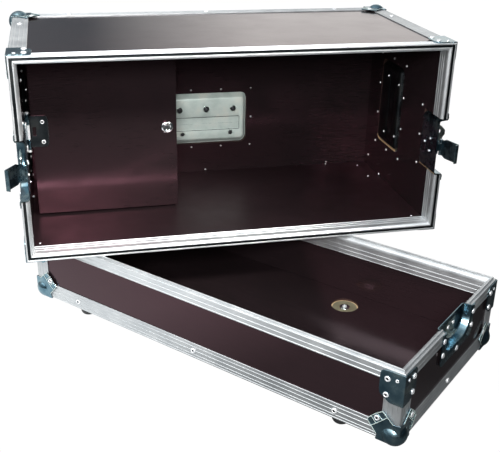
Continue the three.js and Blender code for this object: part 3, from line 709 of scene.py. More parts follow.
# Pale satin zinc as painted light: highlights on the ball corner ribs and the hinge bevels, and a painted
# reflection on the back handle pan's inner face.
SATIN_HIGHLIGHT_ZINC = plated("satin_zinc_painted_highlight", (0.36, 0.43, 0.40), (0.47, 0.54, 0.50), (0.54, 0.57, 0.51),
                    rough=(0.4, 0.55), metallic=0.2)
YELLOW_ZINC = plated("yellow_zinc_plating", (0.12, 0.108, 0.066), (0.18, 0.165, 0.105), (0.24, 0.22, 0.15),
                     rough=(0.45, 0.6), metallic=0.3)
RIVET_STEEL = plated("rivet_steel", (0.66, 0.68, 0.70), (0.78, 0.79, 0.80), (0.84, 0.84, 0.82), metallic=0.55)
CHROME = plated("chrome", (0.72, 0.73, 0.75), (0.82, 0.83, 0.84), (0.88, 0.88, 0.88), rough=(0.06, 0.12))
FOOT_RUBBER = rubber("foot_rubber", (0.012, 0.012, 0.013), 900.0)
GRIP_RUBBER = rubber("grip_rubber", (0.016, 0.016, 0.017), 1400.0)
# Painted shade for holes and gaps.
HOLE_SHADE = painted_hole_shade()


# ---------------------------------------------------------------- boards

def board_materials():
    """Gives each board that keeps its CAD shape its own film material."""
    case_axes = {"back": Y, "bottom": Z, "top": Z, "left": X, "right": X}
    tray_axes = {"floor": Z, "front": TRAY_ACROSS, "back": TRAY_ACROSS, "left": TRAY_ALONG,
                 "right": TRAY_ALONG}
    board_axes = {f"case_{name}_panel": axis for name, axis in case_axes.items()}
    board_axes.update({f"tray_{name}_panel": axis for name, axis in tray_axes.items()})
    board_axes["divider_panel"] = X
    for name, axis in board_axes.items():
        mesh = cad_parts[name].data
        places = [vertex.co.dot(axis) for vertex in mesh.vertices]
        mesh.materials.clear()
        haze = SCUFFED if name == "case_bottom_panel" else SMOOTH
        mesh.materials.append(film_board(name + "_film", axis, (min(places), max(places)), haze))


def door():
    """Door leaf with rounded corners and a hole for the lock. Its outline is in case X and Z."""
    outline = rectangle(*DOOR_X, *DOOR_Z, radius=3)
    hole = circle(LOCK["body"] + 0.6, LOCK["x"], LOCK["z"])
    shape = plate(outline, 0, BOARD, [hole])
    place = CASE @ axes(X, Z, Y, (0, DOOR_Y, 0))
    low = (place @ Vector((0, 0, 0))).y
    material = film_board("door_film", Y, (low, low + BOARD / 1000))
    piece("door_leaf", shape, place, "door", "film_faced_board", [material], ["door_panel"], bevel=0.5)


# ---------------------------------------------------------------- aluminium edges

def ribbed_leg(length):
    """Outer line of an angle's leg as (distance, inset) points: ribs a pitch apart and a lip."""
    line = [(RIB_PITCH * 0.42, 0), (RIB_PITCH * 0.5, RIB_DROP)]
    for step in range(1, int(length / RIB_PITCH)):
        middle = step * RIB_PITCH
        line += [(middle - RIB_HALF - 0.5, RIB_DROP), (middle - RIB_HALF, 0),
                 (middle + RIB_HALF, 0), (middle + RIB_HALF + 0.5, RIB_DROP)]
    return line + [(length - 2.6, RIB_DROP), (length - 1.9, -0.1), (length - 0.5, -0.1), (length, 0.5)]


def angle_profile():
    """Closed outline of an edge angle, its corner rounded at the origin."""
    leg = ribbed_leg(EDGE_LEG)
    arc = [(BEND - BEND * math.sin(turn), BEND - BEND * math.cos(turn))
           for turn in (0, 0.4, 0.785, 1.17, math.pi / 2)]
    inner = [(SKIN, EDGE_LEG), (SKIN, SKIN), (EDGE_LEG, SKIN)]
    return leg[::-1] + arc + [(inset, distance) for distance, inset in leg] + inner


def rim_profile(tongue):
    """Closed outline of a rim as (inset, depth from its shoulder), with a tongue or a groove."""
    if tongue:
        crown = [(3.8, 0), (4.0, 0.4 - tongue), (4.5, -tongue), (6.0, -tongue), (6.5, 0.4 - tongue), (6.7, 0)]
    else:
        crown = [(2.6, 0), (2.9, 0.4), (3.0, 5.6), (7.4, 5.6), (7.5, 0.4), (7.8, 0)]
    top = [(0.6, 0)] + crown + [(9.6, 0), (10.0, 0.3), (12.7, 2.6), (13.1, 3.2)]
    inner = []
    for middle in (10, 18, 26):
        inner += [(13.1, middle - 1), (12.6, middle - 0.5), (12.6, middle + 6.5), (13.1, middle + 7)]
    inner += [(13.1, RIM_INNER_LEG - 0.4), (12.8, RIM_INNER_LEG)]
    back = [(LINING, RIM_INNER_LEG), (LINING, RIM_WEB), (SKIN, RIM_WEB), (SKIN, RIM_OUTER_LEG)]
    outer = [(0.5, RIM_OUTER_LEG), (-0.1, 19.4), (-0.1, 18), (0.6, 17.3), (0.6, 11.6), (0, 11.1), (0, 9.9),
             (0.6, 9.4), (0.6, 2.6), (0, 2.0), (0, 0.6)]
    return top + inner + back + outer


def flat_end(a, b):
    return 0.0


def angle_mitre(a, b):
    return max(a + b + 0.1, BALL_INSET - 4)


def rim_mitre(a, b):
    return a + 0.1


def rim(half, name):
    """The rim of one half: two long sides and four stubs that run to the end dishes."""
    tongue, dish_z = half["rim"], half["dish_z"]
    profile = [(inset, tongue + depth) for inset, depth in rim_profile(tongue)]
    dish_edge = DISH_HALF + FACE + GAP

    def add(node, label, shape, direction):
        # The groove's faces get the painted shade zinc.
        for index in () if tongue else GROOVE_SHADE_FACES:
            shape.slots[index] = 1
        piece(f"{node}_{label}", shape, half["place"], name, "aluminium_edging",
              [RIM_METAL_LIT_AND_SHADED[name][direction], PAINTED_SHADE_ZINC], [node])

    for side, z, inward in long_sides(half):
        node = f"{name}_rim_{side}"
        long_side = extrusion(profile, (-HALF, 0, z), X, Z * inward, Y, (0, LENGTH), (rim_mitre, rim_mitre))
        add(node, "long", long_side, "along")
        reach = dish_z - dish_edge if inward > 0 else WIDTH - dish_z - dish_edge
        for end, sign in SIGNS.items():
            stub = extrusion(profile, (sign * HALF, 0, z), Z * inward, X * -sign, Y, (0, reach),
                             (rim_mitre, flat_end))
            add(node, end, stub, "across")


def edge_angles(half, name):
    """Four angles round the closed side and four posts that run up to the rim."""
    profile = angle_profile()
    metal = EDGE_METAL_LIT_AND_SHADED[name]
    node = f"{name}_edge_frame"
    depth, place = half["depth"], half["place"]

    def add(label, shape, direction):
        piece(f"{name}_edge_{label}", shape, place, name, "aluminium_edging", [metal[direction]], [node])

    for side, z, inward in long_sides(half):
        both = (angle_mitre, angle_mitre)
        add(side, extrusion(profile, (-HALF, depth, z), X, Z * inward, -Y, (0, LENGTH), both), "along")
        for end, sign in SIGNS.items():
            start = half["rim"] + RIM_OUTER_LEG + GAP
            post = extrusion(profile, (sign * HALF, 0, z), Y, X * -sign, Z * inward, (start, depth),
                             (flat_end, angle_mitre))
            add(f"post_{side}_{end}", post, "into")
    for end, sign in SIGNS.items():
        across = extrusion(profile, (sign * HALF, depth, 0), Z, X * -sign, -Y, (0, WIDTH), both)
        add(end, across, "across")


# ---------------------------------------------------------------- corners

def on_face(shape, axis):
    """A shape drawn on the X = 0 face turned to the face across the named axis, by cycling the axes."""
    return shape.at({"x": Matrix.Identity(4), "y": UPRIGHT, "z": axes(Z, X, Y)}[axis])


def petal():
    """One leg of a ball corner in its own plane, with ribs that frame the rivet."""
    outline = rounded([(8.5, -FACE, 0), (36, -FACE, 1), (36, 1, 2), (34, 8, 4), (52, 28, 2), (28, 52, 2),
                       (8, 34, 4), (1, 36, 2), (-FACE, 36, 1), (-FACE, 8.5, 0)], 3)
    leg = plate(outline, -FACE, -GAP)
    for start, end in PETAL_RIBS:
        leg.add(rib(start, end, 0.75, 0.9))
    return leg.at(UPRIGHT)


def rib(start, end, half, height):
    """Straight rib on the outer side of a petal."""
    middle = (Vector(start) + Vector(end)) / 2
    run = Vector(end) - Vector(start)
    strip = plate(rectangle(-run.length / 2, run.length / 2, -half, half), -FACE - height, -FACE + 0.5)
    turn = Matrix.Rotation(math.atan2(run.y, run.x), 4, "Z")
    return strip.at(Matrix.Translation((middle.x, middle.y, 0)) @ turn)


def petal_ribs():
    """Lines of the ribs: a square on its point round the rivet, and the outline's tips on both sides."""
    reach, centre = 9.2, PETAL_RIVET
    tips = [(centre + reach, centre), (centre, centre + reach), (centre - reach, centre),
            (centre, centre - reach)]
    lines = list(zip(tips, tips[1:] + tips[:1]))
    for start, end in (((44, 19.5), (51.2, 28)), ((51.2, 28), (45.2, 36)), ((44, 19.5), (36, 26.8)),
                       ((35, 9.5), (44, 19.5))):
        lines += [(start, end), (start[::-1], end[::-1])]
    return lines


PETAL_RIBS = petal_ribs()


def rib_highlights():
    """Painted highlights: pale strips along the tops of a ball corner's ribs."""
    leg = Shape()
    for start, end in PETAL_RIBS:
        leg.add(rib(start, end, 0.45, 1.05))
    return together(*[on_face(leg.at(UPRIGHT), axis) for axis in "xyz"])


def ball_corner_shape():
    """Ball outside the corner's octant with a petal on each of its three faces."""
    steps = 24
    turns = [math.pi * step / steps for step in range(steps + 1)]
    profile = [(BALL_RADIUS * math.sin(turn), -BALL_RADIUS * math.cos(turn)) for turn in turns]
    ball = revolve(profile, 48).at(Matrix.Translation((BALL_INSET,) * 3))
    ball = cut(ball, cuboid((-GAP, 60), (-GAP, 60), (-GAP, 60)))
    return fused(together(ball, *[on_face(petal(), axis) for axis in "xyz"]), 0.5, 3, 0.35)


def brace_shape():
    """Angle plate bent round an edge along Y, with a lobed outline."""
    outline = rounded([(0, -FACE, 0), (BRACE_LENGTH, -FACE, 0), (BRACE_LENGTH, 20, 5), (42, 36.5, 7),
                       (33, BRACE_WIDTH, 12), (2, BRACE_WIDTH, 10), (0, 24, 8)], 6)
    leg = plate(outline, -FACE, -GAP)
    return fused(together(leg.at(UPRIGHT), leg.at(axes(Y, X, Z))), 0.4, 3, 0.3)


def rivet(radius=RIVET_RADIUS, height=1.7):
    """Hollow rivet head on the Z = 0 plane."""
    profile = [(0, -0.3), (radius, -0.3), (radius, 0.3), (radius * 0.94, height * 0.65),
               (radius * 0.76, height), (radius * 0.56, height * 0.97), (radius * 0.44, height * 0.7),
               (radius * 0.4, 0.2), (0, 0.3)]
    return revolve(profile, 20, core=1)


def tail(radius=2.3, height=1.5):
    """End of a set rivet inside the case."""
    profile = [(0, -0.2), (radius, -0.2), (radius, 0.4), (radius * 0.8, height), (radius * 0.4, height * 1.1),
               (radius * 0.3, height * 0.5), (0, height * 0.5)]
    return revolve(profile, 12, core=1)


def dots(name, place, body, spots, maker=rivet, metal=None, **sizes):
    """A set of like fasteners as one piece; spots are (point, normal)."""
    head = maker(**sizes)
    whole = Shape()
    for point, normal in spots:
        whole.add(head, facing(point, normal))
    hardware(name, whole, place, body, [metal or RIVET_STEEL, HOLE_SHADE], angle=50)


def corners(half, name):
    """Ball corners round the closed side and braces at the rim, with their rivets."""
    rivets, small = [], []
    rib_highlight_strips = Shape()
    for end, sign in SIGNS.items():
        for side, z, inward in long_sides(half):
            corner = f"{side}_{end}"
            ball = corner_frame(sign * HALF, half["depth"], z, -sign, -1, inward)
            brace = corner_frame(sign * HALF, half["rim"] + BRACE_FROM_RIM, z, -sign, 1, inward)
            for kind, node, shape, local in (("ball", "ball_corner", BALL_CORNER, ball),
                                             ("brace", "corner_brace", BRACE, brace)):
                hardware(f"{name}_{kind}_{corner}", shape, half["place"] @ local, name, [WORN_AND_GLINT_ZINC],
                         [f"{name}_{node}_{corner}"], angle=60)
            rib_highlight_strips.add(rib_highlights(), ball)
            for axis in range(3):
                spot, normal = Vector((PETAL_RIVET,) * 3), Vector()
                spot[axis], normal[axis] = -FACE, -1
                rivets.append((ball @ spot, ball.to_3x3() @ normal))
            for y, reach in ((14, 26), (41, 26)):
                rivets.append((brace @ Vector((-FACE, y, reach)), brace.to_3x3() @ -X))
                rivets.append((brace @ Vector((reach + 2, y, -FACE)), brace.to_3x3() @ -Z))
            small.append((brace @ Vector((-FACE, 12, 11)), brace.to_3x3() @ -X))
            small.append((brace @ Vector((11, 12, -FACE)), brace.to_3x3() @ -Z))
    # Painted highlights on the ball corners' ribs.
    hardware(f"{name}_corner_rib_highlights", rib_highlight_strips, half["place"], name, [SATIN_HIGHLIGHT_ZINC])
    dots(f"{name}_corner_rivets", half["place"], name, rivets)
    dots(f"{name}_corner_pins", half["place"], name, small, radius=SMALL_RIVET, height=1.0)


def edge_rivets(half, name):
    """Rivets along the middle rib of the edge angles."""
    depth = half["depth"]
    middle = EDGE_LEG / 2
    spots = []
    for z, out, inset in ((0, -Z, middle), (WIDTH, Z, WIDTH - middle)):
        for x in EDGE_RIVET_X:
            spots += [((x, depth - middle, z), out), ((x, depth, inset), Y)]
        for sign in SIGNS.values():
            if name == "case":
                y = depth - POST_RIVET
                spots += [((sign * (HALF - middle), y, z), out), ((sign * HALF, y, inset), X * sign)]
    for sign in SIGNS.values():
        for z in (WIDTH / 2,) if name == "tray" else (POST_RIVET, WIDTH - POST_RIVET):
            spots += [((sign * HALF, depth - middle, z), X * sign), ((sign * (HALF - middle), depth, z), Y)]
    dots(f"{name}_edge_rivets", half["place"], name, spots)


# ---------------------------------------------------------------- pressed dishes

def half_loop(start, length, half, radius, x):
    """Open loop of a half dish, from the rim round its closed end and back to the rim."""
    steps = 7
    radius = min(radius, half, length - start)
    loop = [Vector((x, start + (length - radius - start) * step / 4, -half)) for step in range(4)]
    for step in range(steps + 1):
        turn = math.pi / 2 * step / steps
        y, z = length - radius * (1 - math.sin(turn)), radius * (1 - math.cos(turn)) - half
        loop.append(Vector((x, y, z)))
    return loop + [Vector((p.x, p.y, -p.z)) for p in reversed(loop)]


def full_loop(half_y, half_z, radius, x):
    return [Vector((x, p.x, p.y)) for p in rectangle(-half_y, half_y, -half_z, half_z, radius)]


def dish_steps(radius):
    """Growth of the outline, corner radius and X of each loop from the bead round the mouth to the floor."""
    top = GAP + SKIN / 2
    floor = -DISH_DEPTH - SKIN / 2
    return [(7, radius + 7, top), (5.6, radius + 6, top + 0.6), (3.8, radius + 4, top + 0.6),
            (2.4, radius + 2, top), (0.8, radius + 1, top - 0.5), (0.2, radius, top - 1.6),
            (-0.8, radius, floor + 4), (-1.6, radius, floor + 1.6), (-3.2, radius, floor + 0.4),
            (-5.5, radius, floor)]


def half_dish(rim, spec):
    """Dish that runs out at the rim, with a flange round its other three sides."""
    top = GAP + SKIN / 2
    length, flange, radius = spec["length"], spec["flange"], spec["radius"]
    loops = [half_loop(rim, flange, DISH_FLANGE_HALF, 12, top - 0.4),
             half_loop(rim, flange - 1, DISH_FLANGE_HALF - 1, 11, top)]
    for grow, corner, x in dish_steps(radius):
        loops.append(half_loop(rim, length + grow, DISH_HALF + grow, corner, x))
    floor = loops[-1][0].x
    for share in (0.6, 0.25, 0.02):
        loops.append(half_loop(rim, rim + (length - 5.5 - rim) * share, (DISH_HALF - 5.5) * share,
                               radius * share, floor))
    return loft(loops, closed=False, caps=False)


def handle_dish():
    """Pan of a recessed handle with a bead round its mouth and a pressed strip in its floor."""
    top = GAP - FACE + SKIN / 2
    floor = -DISH_DEPTH - SKIN / 2
    steps = [(HANDLE_FLANGE, 0, 0, 12, top - 0.4), (HANDLE_FLANGE, -1, -1, 11, top),
             (HANDLE_MOUTH, 6, 6, 17, top), (HANDLE_MOUTH, 4.6, 4.6, 16, top + 0.5),
             (HANDLE_MOUTH, 3, 3, 14, top + 0.5), (HANDLE_MOUTH, 1.6, 1.6, 13, top),
             (HANDLE_MOUTH, 0.4, 0.4, 12, top - 0.5), (HANDLE_MOUTH, -0.6, -0.4, 12, top - 1.6),
             (HANDLE_FLOOR, 1.6, 1.2, 10, floor + 3), (HANDLE_FLOOR, 0.2, 0.2, 9, floor + 1.2),
             (HANDLE_FLOOR, -1.2, -1.2, 8, floor + 0.3), (HANDLE_FLOOR, -3, -3, 7, floor)]
    loops = [full_loop(half_y + grow_y, half_z + grow_z, radius, x)
             for (half_y, half_z), grow_y, grow_z, radius, x in steps]
    return loft(loops + strip_loops(floor), caps=False)


def strip_loops(floor):
    """Loops that close the pan floor with a long shallow panel pressed into it from inside the case."""
    def shifted(grow, radius, x):
        loop = full_loop(STRIP["half_y"] + grow, STRIP["half_z"] + grow, radius, x)
        return [point + Y * STRIP["y"] for point in loop]

    loops = [shifted(1.6, 5, floor), shifted(0.8, 4, floor + 0.3), shifted(0, 4, floor + 1.2),
             shifted(-1.4, 3, floor + 1.3)]
    return loops + [shifted(-STRIP["half_y"] + 0.2, 0.1, floor + 1.3)]


def latch_dishes():
    sides = (-DISH_RIVET_Z, DISH_RIVET_Z)
    for end in SIGNS:
        case_end, tray_end = CASE @ end_frame(end, LATCH_Z), TRAY @ end_frame(end, KEEPER_Z)
        hardware(f"latch_dish_{end}", half_dish(0, LATCH_DISH), case_end, "case", [ZINC],
                 [f"case_latch_dish_{end}"], sheet=1.3, angle=50)
        hardware(f"keeper_dish_{end}", half_dish(TONGUE_HEIGHT, KEEPER_DISH), tray_end, "tray", [ZINC],
                 [f"tray_keeper_dish_{end}"], sheet=1.3, angle=50)
        keeper(end, tray_end)
        spots = [((FACE, 85, z), X) for z in (-DISH_RIVET_Z, 0, DISH_RIVET_Z)]
        spots += [((FACE, y, z), X) for y in (16, 50) for z in sides]
        dots(f"latch_dish_rivets_{end}", case_end, "case", spots)
        spots = [((FACE, y, z), X) for y in (17, 42) for z in sides] + [((FACE, 57.5, 0), X)]
        dots(f"keeper_dish_rivets_{end}", tray_end, "tray", spots)


def keeper(end, place):
    """Catch plate on the keeper dish's floor, with a turned-up lip for the hook."""
    floor = -DISH_DEPTH
    profile = [(floor, 12), (floor, 33.6), (floor + 1.2, 35.2), (floor + 8, 35.2)]
    loops = []
    for z, trim in ((-17, 2.5), (-15.5, 0.8), (-13, 0), (13, 0), (15.5, 0.8), (17, 2.5)):
        outer = [Vector((x + 0.2, y, z)) for x, y in profile]
        inner = [Vector((x + 1.6, y - 1.5, z)) for x, y in profile]
        outer[-1].x -= trim
        inner[-1].x -= trim + 1.4
        loops.append(outer + inner[::-1])
    hardware(f"keeper_catch_{end}", loft(loops), place, "tray", [BRIGHT_ZINC], [f"tray_keeper_dish_{end}"],
             bevel=0.35)
    dots(f"keeper_catch_rivets_{end}", place, "tray", [((floor + 1.4, 20, z), X) for z in (-10, 10)],
         radius=3.4, height=1.3)


# ---------------------------------------------------------------- latches

def rotor_shape():
    """Round plate with a raised rim and a boss, drawn round Z and turned to face X."""
    base, top = ROTOR_X
    edge = ROTOR_RADIUS
    profile = [(0, base), (edge - 0.8, base), (edge, base + 0.8), (edge, top - 0.8), (edge - 0.8, top),
               (edge - 2.6, top), (edge - 4, top - 0.9), (9, top - 0.9), (8, top), (4.6, top + 0.6),
               (3.2, top + 0.5), (2.6, top - 0.6), (0, top - 0.6)]
    return revolve(profile, 48, core=1).at(Matrix.Translation((0, SPINDLE_Y, 0)) @ UPRIGHT)


def rotor_ears():
    """Two upright ears for the key's pin."""
    x, y = KEY_PIVOT
    base = ROTOR_X[1] - 0.6
    outline = rounded([(base, y - 3.2, 0), (x + 3, y - 3.2, 3), (x + 3.2, y + 1, 3), (x + 2.4, y + 3, 3),
                       (base, y + 3, 0)], 6)
    hole = circle(PIN_HOLE, x, y, 20)
    return together(plate(outline, -15, -12, [hole]), plate(outline, 12, 15, [hole]))


def key_outline():
    """Butterfly wing as (height, across) with two lobes and a dip between them."""
    base = KEY_PIVOT[0] + 3.5
    half, top = KEY_HALF, KEY_HEIGHT
    lobe = [(base, -half + 6, 2), (base + 5, -half, 5), (base + top * 0.62, -half, 7),
            (base + top, -half * 0.62, 6), (base + top, -half * 0.3, 4), (base + top * 0.78, 0, 9)]
    return rounded(mirrored(lobe), 6)


def key_shape():
    """Folding butterfly key: a wing with a hole in each lobe, rolled round its pin at the foot."""
    x, y = KEY_PIVOT
    base = x + 3.5
    half = 10.4
    upright = axes(X, Z, Y, (0, y, 0))
    holes = [circle(4.2, base + 13, side * 14, 24) for side in (-1, 1)]
    tab = rounded([(x - 2.2, y - 1, 0.6), (base + 1, y - 1, 0), (base + 1, y + 1, 0), (x - 2.2, y + 1, 0.6)])
    roll = [(0, -half), (2.3, -half), (2.6, 0.3 - half), (2.6, half - 0.3), (2.3, half), (0, half)]
    return together(plate(key_outline(), -1, 1, holes).at(upright), plate(tab, -half, half),
                    revolve(roll, 20).at(Matrix.Translation((x, y, 0))),
                    plate(rectangle(base + 2.4, base + 4.2, -18, 18, 0.8), -1.5, 1.5).at(upright))


def drawbar_shape():
    """Sliding bar with a slot for the spindle and a block with a hole for the hook's pin."""
    x, y = HOOK_PIVOT
    low, high = DRAWBAR_X
    slot = rectangle(SPINDLE_Y - 10.4, SPINDLE_Y + 4.4, -4.4, 4.4, 4)
    outline = rounded(mirrored([(y - 3, -13, 3), (50, -13, 3), (58, -8, 4)]))
    block = rounded([(low + 1, y - 3, 0), (x - 1, y - 3, 2), (x + 3, y - 1, 3), (x + 3, y + 2, 3),
                     (x - 2, y + 4, 3), (low + 1, y + 5, 0)])
    return together(plate(outline, low, high, [slot]).at(UPRIGHT),
                    plate(block, -6.9, 6.9, [circle(PIN_HOLE, x, y, 20)]))


def hook_shape():
    """Claw: a ribbed plate that reaches past the rim, its end turned in, on two rolled knuckles."""
    tip = -HOOK_LENGTH
    half = HOOK_HALF
    outline = rounded(mirrored([(-4.4, -12, 0), (-9, -15.5, 3), (-14, -half, 4), (tip + 1, -half, 2)]))
    shape = plate(outline, -0.9, 0.9).at(UPRIGHT)
    claw = rounded([(0.9, tip + 3, 0), (0.9, tip, 2.4), (-HOOK_LIP, tip, 0.7), (-HOOK_LIP, tip + 1.7, 0.7),
                    (-0.9, tip + 1.8, 1), (-0.9, tip + 3, 0)])
    roll = rounded([(-0.9, -6, 0), (0.9, -6, 0), (0.9, -3.2, 2), (2.6, -1.5, 2), (2.6, 1.5, 2.4),
                    (0, 2.9, 2.6), (-2.6, 1.5, 2.4), (-2.6, -1.5, 2), (-0.9, -3.2, 2)], 4)
    return together(shape, plate(claw, -half + 0.4, half - 0.4), plate(roll, -14.9, -7.5),
                    plate(roll, 7.5, 14.9))


def hook_ribs():
    """Two pressed ribs crossing round a rivet in the middle of the hook's plate."""
    centre_y = -27
    strip = plate(rectangle(-12, 12, -1.1, 1.1, 1, 4), 0.6, 1.8)
    ribs = Shape()
    for turn in (math.radians(45), math.radians(-45)):
        ribs.add(strip, Matrix.Translation((0, centre_y, 0)) @ UPRIGHT @ Matrix.Rotation(turn, 4, "Z"))
    return ribs.add(rivet(4, 1.6), facing((0.9, centre_y, 0), X))


def latch(end):
    """Twist latch of one end: rotor, folding key, drawbar and hook, each with its pin."""
    place = CASE @ end_frame(end, LATCH_Z)
    rotor, key, drawbar, hook = (f"latch_{part}_{end}" for part in ("rotor", "key", "drawbar", "hook"))
    plate_shape = together(rotor_shape(), rotor_ears())
    hardware(f"{rotor}_plate", plate_shape, place, rotor, [ZINC, HOLE_SHADE], [rotor], bevel=0.25)
    x, y = KEY_PIVOT
    to_pivot = Matrix.Translation((x, y, 0))
    fold = to_pivot @ Matrix.Rotation(-KEY_FOLD[end], 4, "Z") @ to_pivot.inverted()
    hardware(f"{key}_wing", key_shape(), place @ fold, key, [BRIGHT_ZINC], [key], bevel=0.3)
    key_pin = bar(PIN_RADIUS, (x, y, -15.4), (x, y, 15.4))
    hardware(f"{key}_pin", key_pin, place, key, [RIVET_STEEL], [key])
    # Bevels of the drawbar and the claw in bright zinc: painted highlights along their edges.
    hardware(f"{drawbar}_bar", drawbar_shape(), place, drawbar, [ZINC, BRIGHT_ZINC], [drawbar], bevel=0.35,
             trim=1)
    x, y = HOOK_PIVOT
    tilted = place @ Matrix.Translation((x, y, 0)) @ Matrix.Rotation(HOOK_TILT[end], 4, "Z")
    hardware(f"{hook}_claw", hook_shape(), tilted, hook, [ZINC, BRIGHT_ZINC], [hook], bevel=0.5, trim=1)
    hardware(f"{hook}_ribs", hook_ribs(), tilted, hook, [BRIGHT_ZINC, HOLE_SHADE], [hook], bevel=0.2, angle=50)
    hook_pin = bar(PIN_RADIUS, (0, 0, -15.2), (0, 0, 15.2))
    hardware(f"{hook}_pin", hook_pin, tilted, hook, [RIVET_STEEL], [hook])


# ---------------------------------------------------------------- handles

def grip_shape():
    """Moulded sleeve round the bar, a little fuller in the middle, with a collar at each end."""
    steps = 36
    half = GRIP_HALF - 4
    profile = [(0, -half), (GRIP_RADIUS - 0.8, -half), (GRIP_RADIUS, -half + 0.8), (GRIP_RADIUS, -half + 4),
               (GRIP_RADIUS - 1, -half + 5)]
    for step in range(steps + 1):
        z = (half - 6) * (2 * step / steps - 1)
        swell = 0.5 * (1 - (z / half) ** 2)
        groove = 0.25 * (step % 2)
        profile.append((GRIP_RADIUS - 0.7 + swell - groove, z))
    profile += [(GRIP_RADIUS - 1, half - 5), (GRIP_RADIUS, half - 4), (GRIP_RADIUS, half - 0.8),
                (GRIP_RADIUS - 0.8, half), (0, half)]
    return revolve(profile, 28).at(Matrix.Translation((GRIP_PIVOT[0], GRIP_BAR_Y, 0)))


def grip_arms():
    """Flat arms with an eye at the pivot, joined by the rod inside the sleeve."""
    x, y = GRIP_PIVOT
    rod_y = GRIP_BAR_Y
    arms = Shape()
    outline = rounded([(x - 3.6, rod_y - 4, 3.5), (x + 3.6, rod_y - 4, 3.5), (x + 3, rod_y + 8, 6),
                       (x + 3, y - 8, 6), (x + 4.2, y + 3.5, 4), (x - 4.2, y + 3.5, 4), (x - 3, y - 8, 6),
                       (x - 3, rod_y + 8, 6)])
    for side in (-1, 1):
        low, high = sorted((side * (GRIP_HALF - 2.6), side * (GRIP_HALF + 1)))
        arms.add(plate(outline, low, high))
        arms.add(bar(1.9, (x, y, side * (GRIP_HALF - 8)), (x, y, side * (GRIP_HALF + 11))))
        arms.add(bar(3.2, (x, rod_y, side * (GRIP_HALF - 6)), (x, rod_y, side * (GRIP_HALF + 3)), edge=0.8))
    return arms


def spring_shape(side):
    """Coil spring round the pivot stub with a tail down to the pan floor."""
    x, y = GRIP_PIVOT
    start, turns, radius = GRIP_HALF - 16, 5, 3.4
    pitch, steps = 1.4, 14
    path = [Vector((x - 6, y + 13, side * start)), Vector((x - 5, y + 7, side * start))]
    for step in range(turns * steps + 1):
        turn = -0.6 + 2 * math.pi * step / steps
        z = start + pitch * step / steps
        path.append(Vector((x - radius * math.cos(turn), y + radius * math.sin(turn), side * z)))
    return wire(path, 0.55)


def lugs():
    """Lugs on the pan floor that carry the pivot stubs."""
    x, y = GRIP_PIVOT
    base = -DISH_DEPTH - 0.4
    outline = rounded([(base, y - 8, 0), (base + 2, y - 6, 2), (x + 1, y - 5, 4), (x + 4.6, y - 2, 3.5),
                       (x + 4.6, y + 2, 3.5), (x + 1, y + 5, 4), (base + 2, y + 6, 2), (base, y + 8, 0)])
    pair = Shape()
    for side in (-1, 1):
        low, high = sorted((side * (GRIP_HALF + 4.2), side * (GRIP_HALF + 8.8)))
        pair.add(plate(outline, low, high, [circle(2.5, x, y, 20)]))
    return pair


def screw(radius, height):
    """Pan head with a cross recess shown by painted shade on its core."""
    profile = [(0, -0.3), (radius, -0.3), (radius, 0.4), (radius * 0.85, height * 0.8),
               (radius * 0.5, height), (radius * 0.36, height), (radius * 0.3, height * 0.4),
               (0, height * 0.3)]
    return revolve(profile, 20, core=2)


def ring(radius, width, height):
    """Raised collar round a hole."""
    profile = [(radius, -0.2), (radius + width, -0.2), (radius + width * 0.8, height * 0.6),
               (radius + width * 0.4, height), (radius, height * 0.4)]
    return tube(profile, 28)


def handles():
    dish, grip, arms, lug_pair = handle_dish(), grip_shape(), grip_arms(), lugs()
    rivets = [((GAP - FACE + SKIN, y, z), X) for y, z in HANDLE_RIVETS]
    for where, local in handle_frames().items():
        place = CASE @ local
        dish_node, grip_node = f"handle_dish_{where}", f"handle_grip_{where}"
        # Pan's inner face: painted reflection, pale, on the back pan; painted shade, near black, on the end
        # pans.
        inside = SATIN_HIGHLIGHT_ZINC if where == "back" else PAINTED_SHADE_ZINC
        hardware(f"handle_pan_{where}", dish, place, "case", [ZINC, inside], [dish_node], sheet=1.3,
                 angle=50)
        hardware(f"handle_lugs_{where}", lug_pair, place, "case", [ZINC], [dish_node], bevel=0.3)
        piece(f"handle_sleeve_{where}", grip, place, grip_node, "grip_rubber", [GRIP_RUBBER], [grip_node])
        hardware(f"handle_arms_{where}", arms, place, grip_node, [ZINC], [grip_node], bevel=0.35)
        for label, side in (("low", -1), ("high", 1)):
            hardware(f"handle_spring_{where}_{label}", spring_shape(side), place, "case", [RIVET_STEEL],
                     angle=70)
        dots(f"handle_rivets_{where}", place, "case", rivets, radius=4.2, height=1.4)
    back_plate(CASE @ handle_frames()["back"])


def back_plate(place):
    """Inner face of the back handle's pan: screws in raised collars and the line round its strip, the screws
    and the line in painted shade.
    """
    face = -DISH_DEPTH - SKIN
    large = [((face - 0.05, 21, z), -X) for z in (-58, 0, 58)]
    small = [((face - 0.05, -32, z), -X) for z in (-52, 52)]
    # Screws and studs wholly in the painted shade, dark as holes.
    dots("handle_plate_screws", place, "case", large, maker=screw, metal=HOLE_SHADE, radius=5.2, height=2.4)
    dots("handle_plate_studs", place, "case", small, maker=screw, metal=HOLE_SHADE, radius=3.6, height=1.8)
    middle, half_y, half_z = STRIP["y"], STRIP["half_y"], STRIP["half_z"]
    outer = rectangle(middle - half_y - 1, middle + half_y + 1, -half_z - 1, half_z + 1, 3)
    inner = rectangle(middle - half_y, middle + half_y, -half_z, half_z, 2)
    # Painted shade: a dark line round the pressed strip.
    line = plate(outer, face - 0.15, face + 0.3, [inner]).at(UPRIGHT)
    hardware("handle_plate_strip_shade_line", line, place, "case", [HOLE_SHADE])
    collars = Shape()
    for spots, radius in ((large, 5.3), (small, 3.7)):
        for point, normal in spots:
            collars.add(ring(radius, 1.5, 0.7), facing(point, normal))
    hardware("handle_plate_collars", collars, place, "case", [BRIGHT_ZINC], angle=60)


# ---------------------------------------------------------------- door hardware

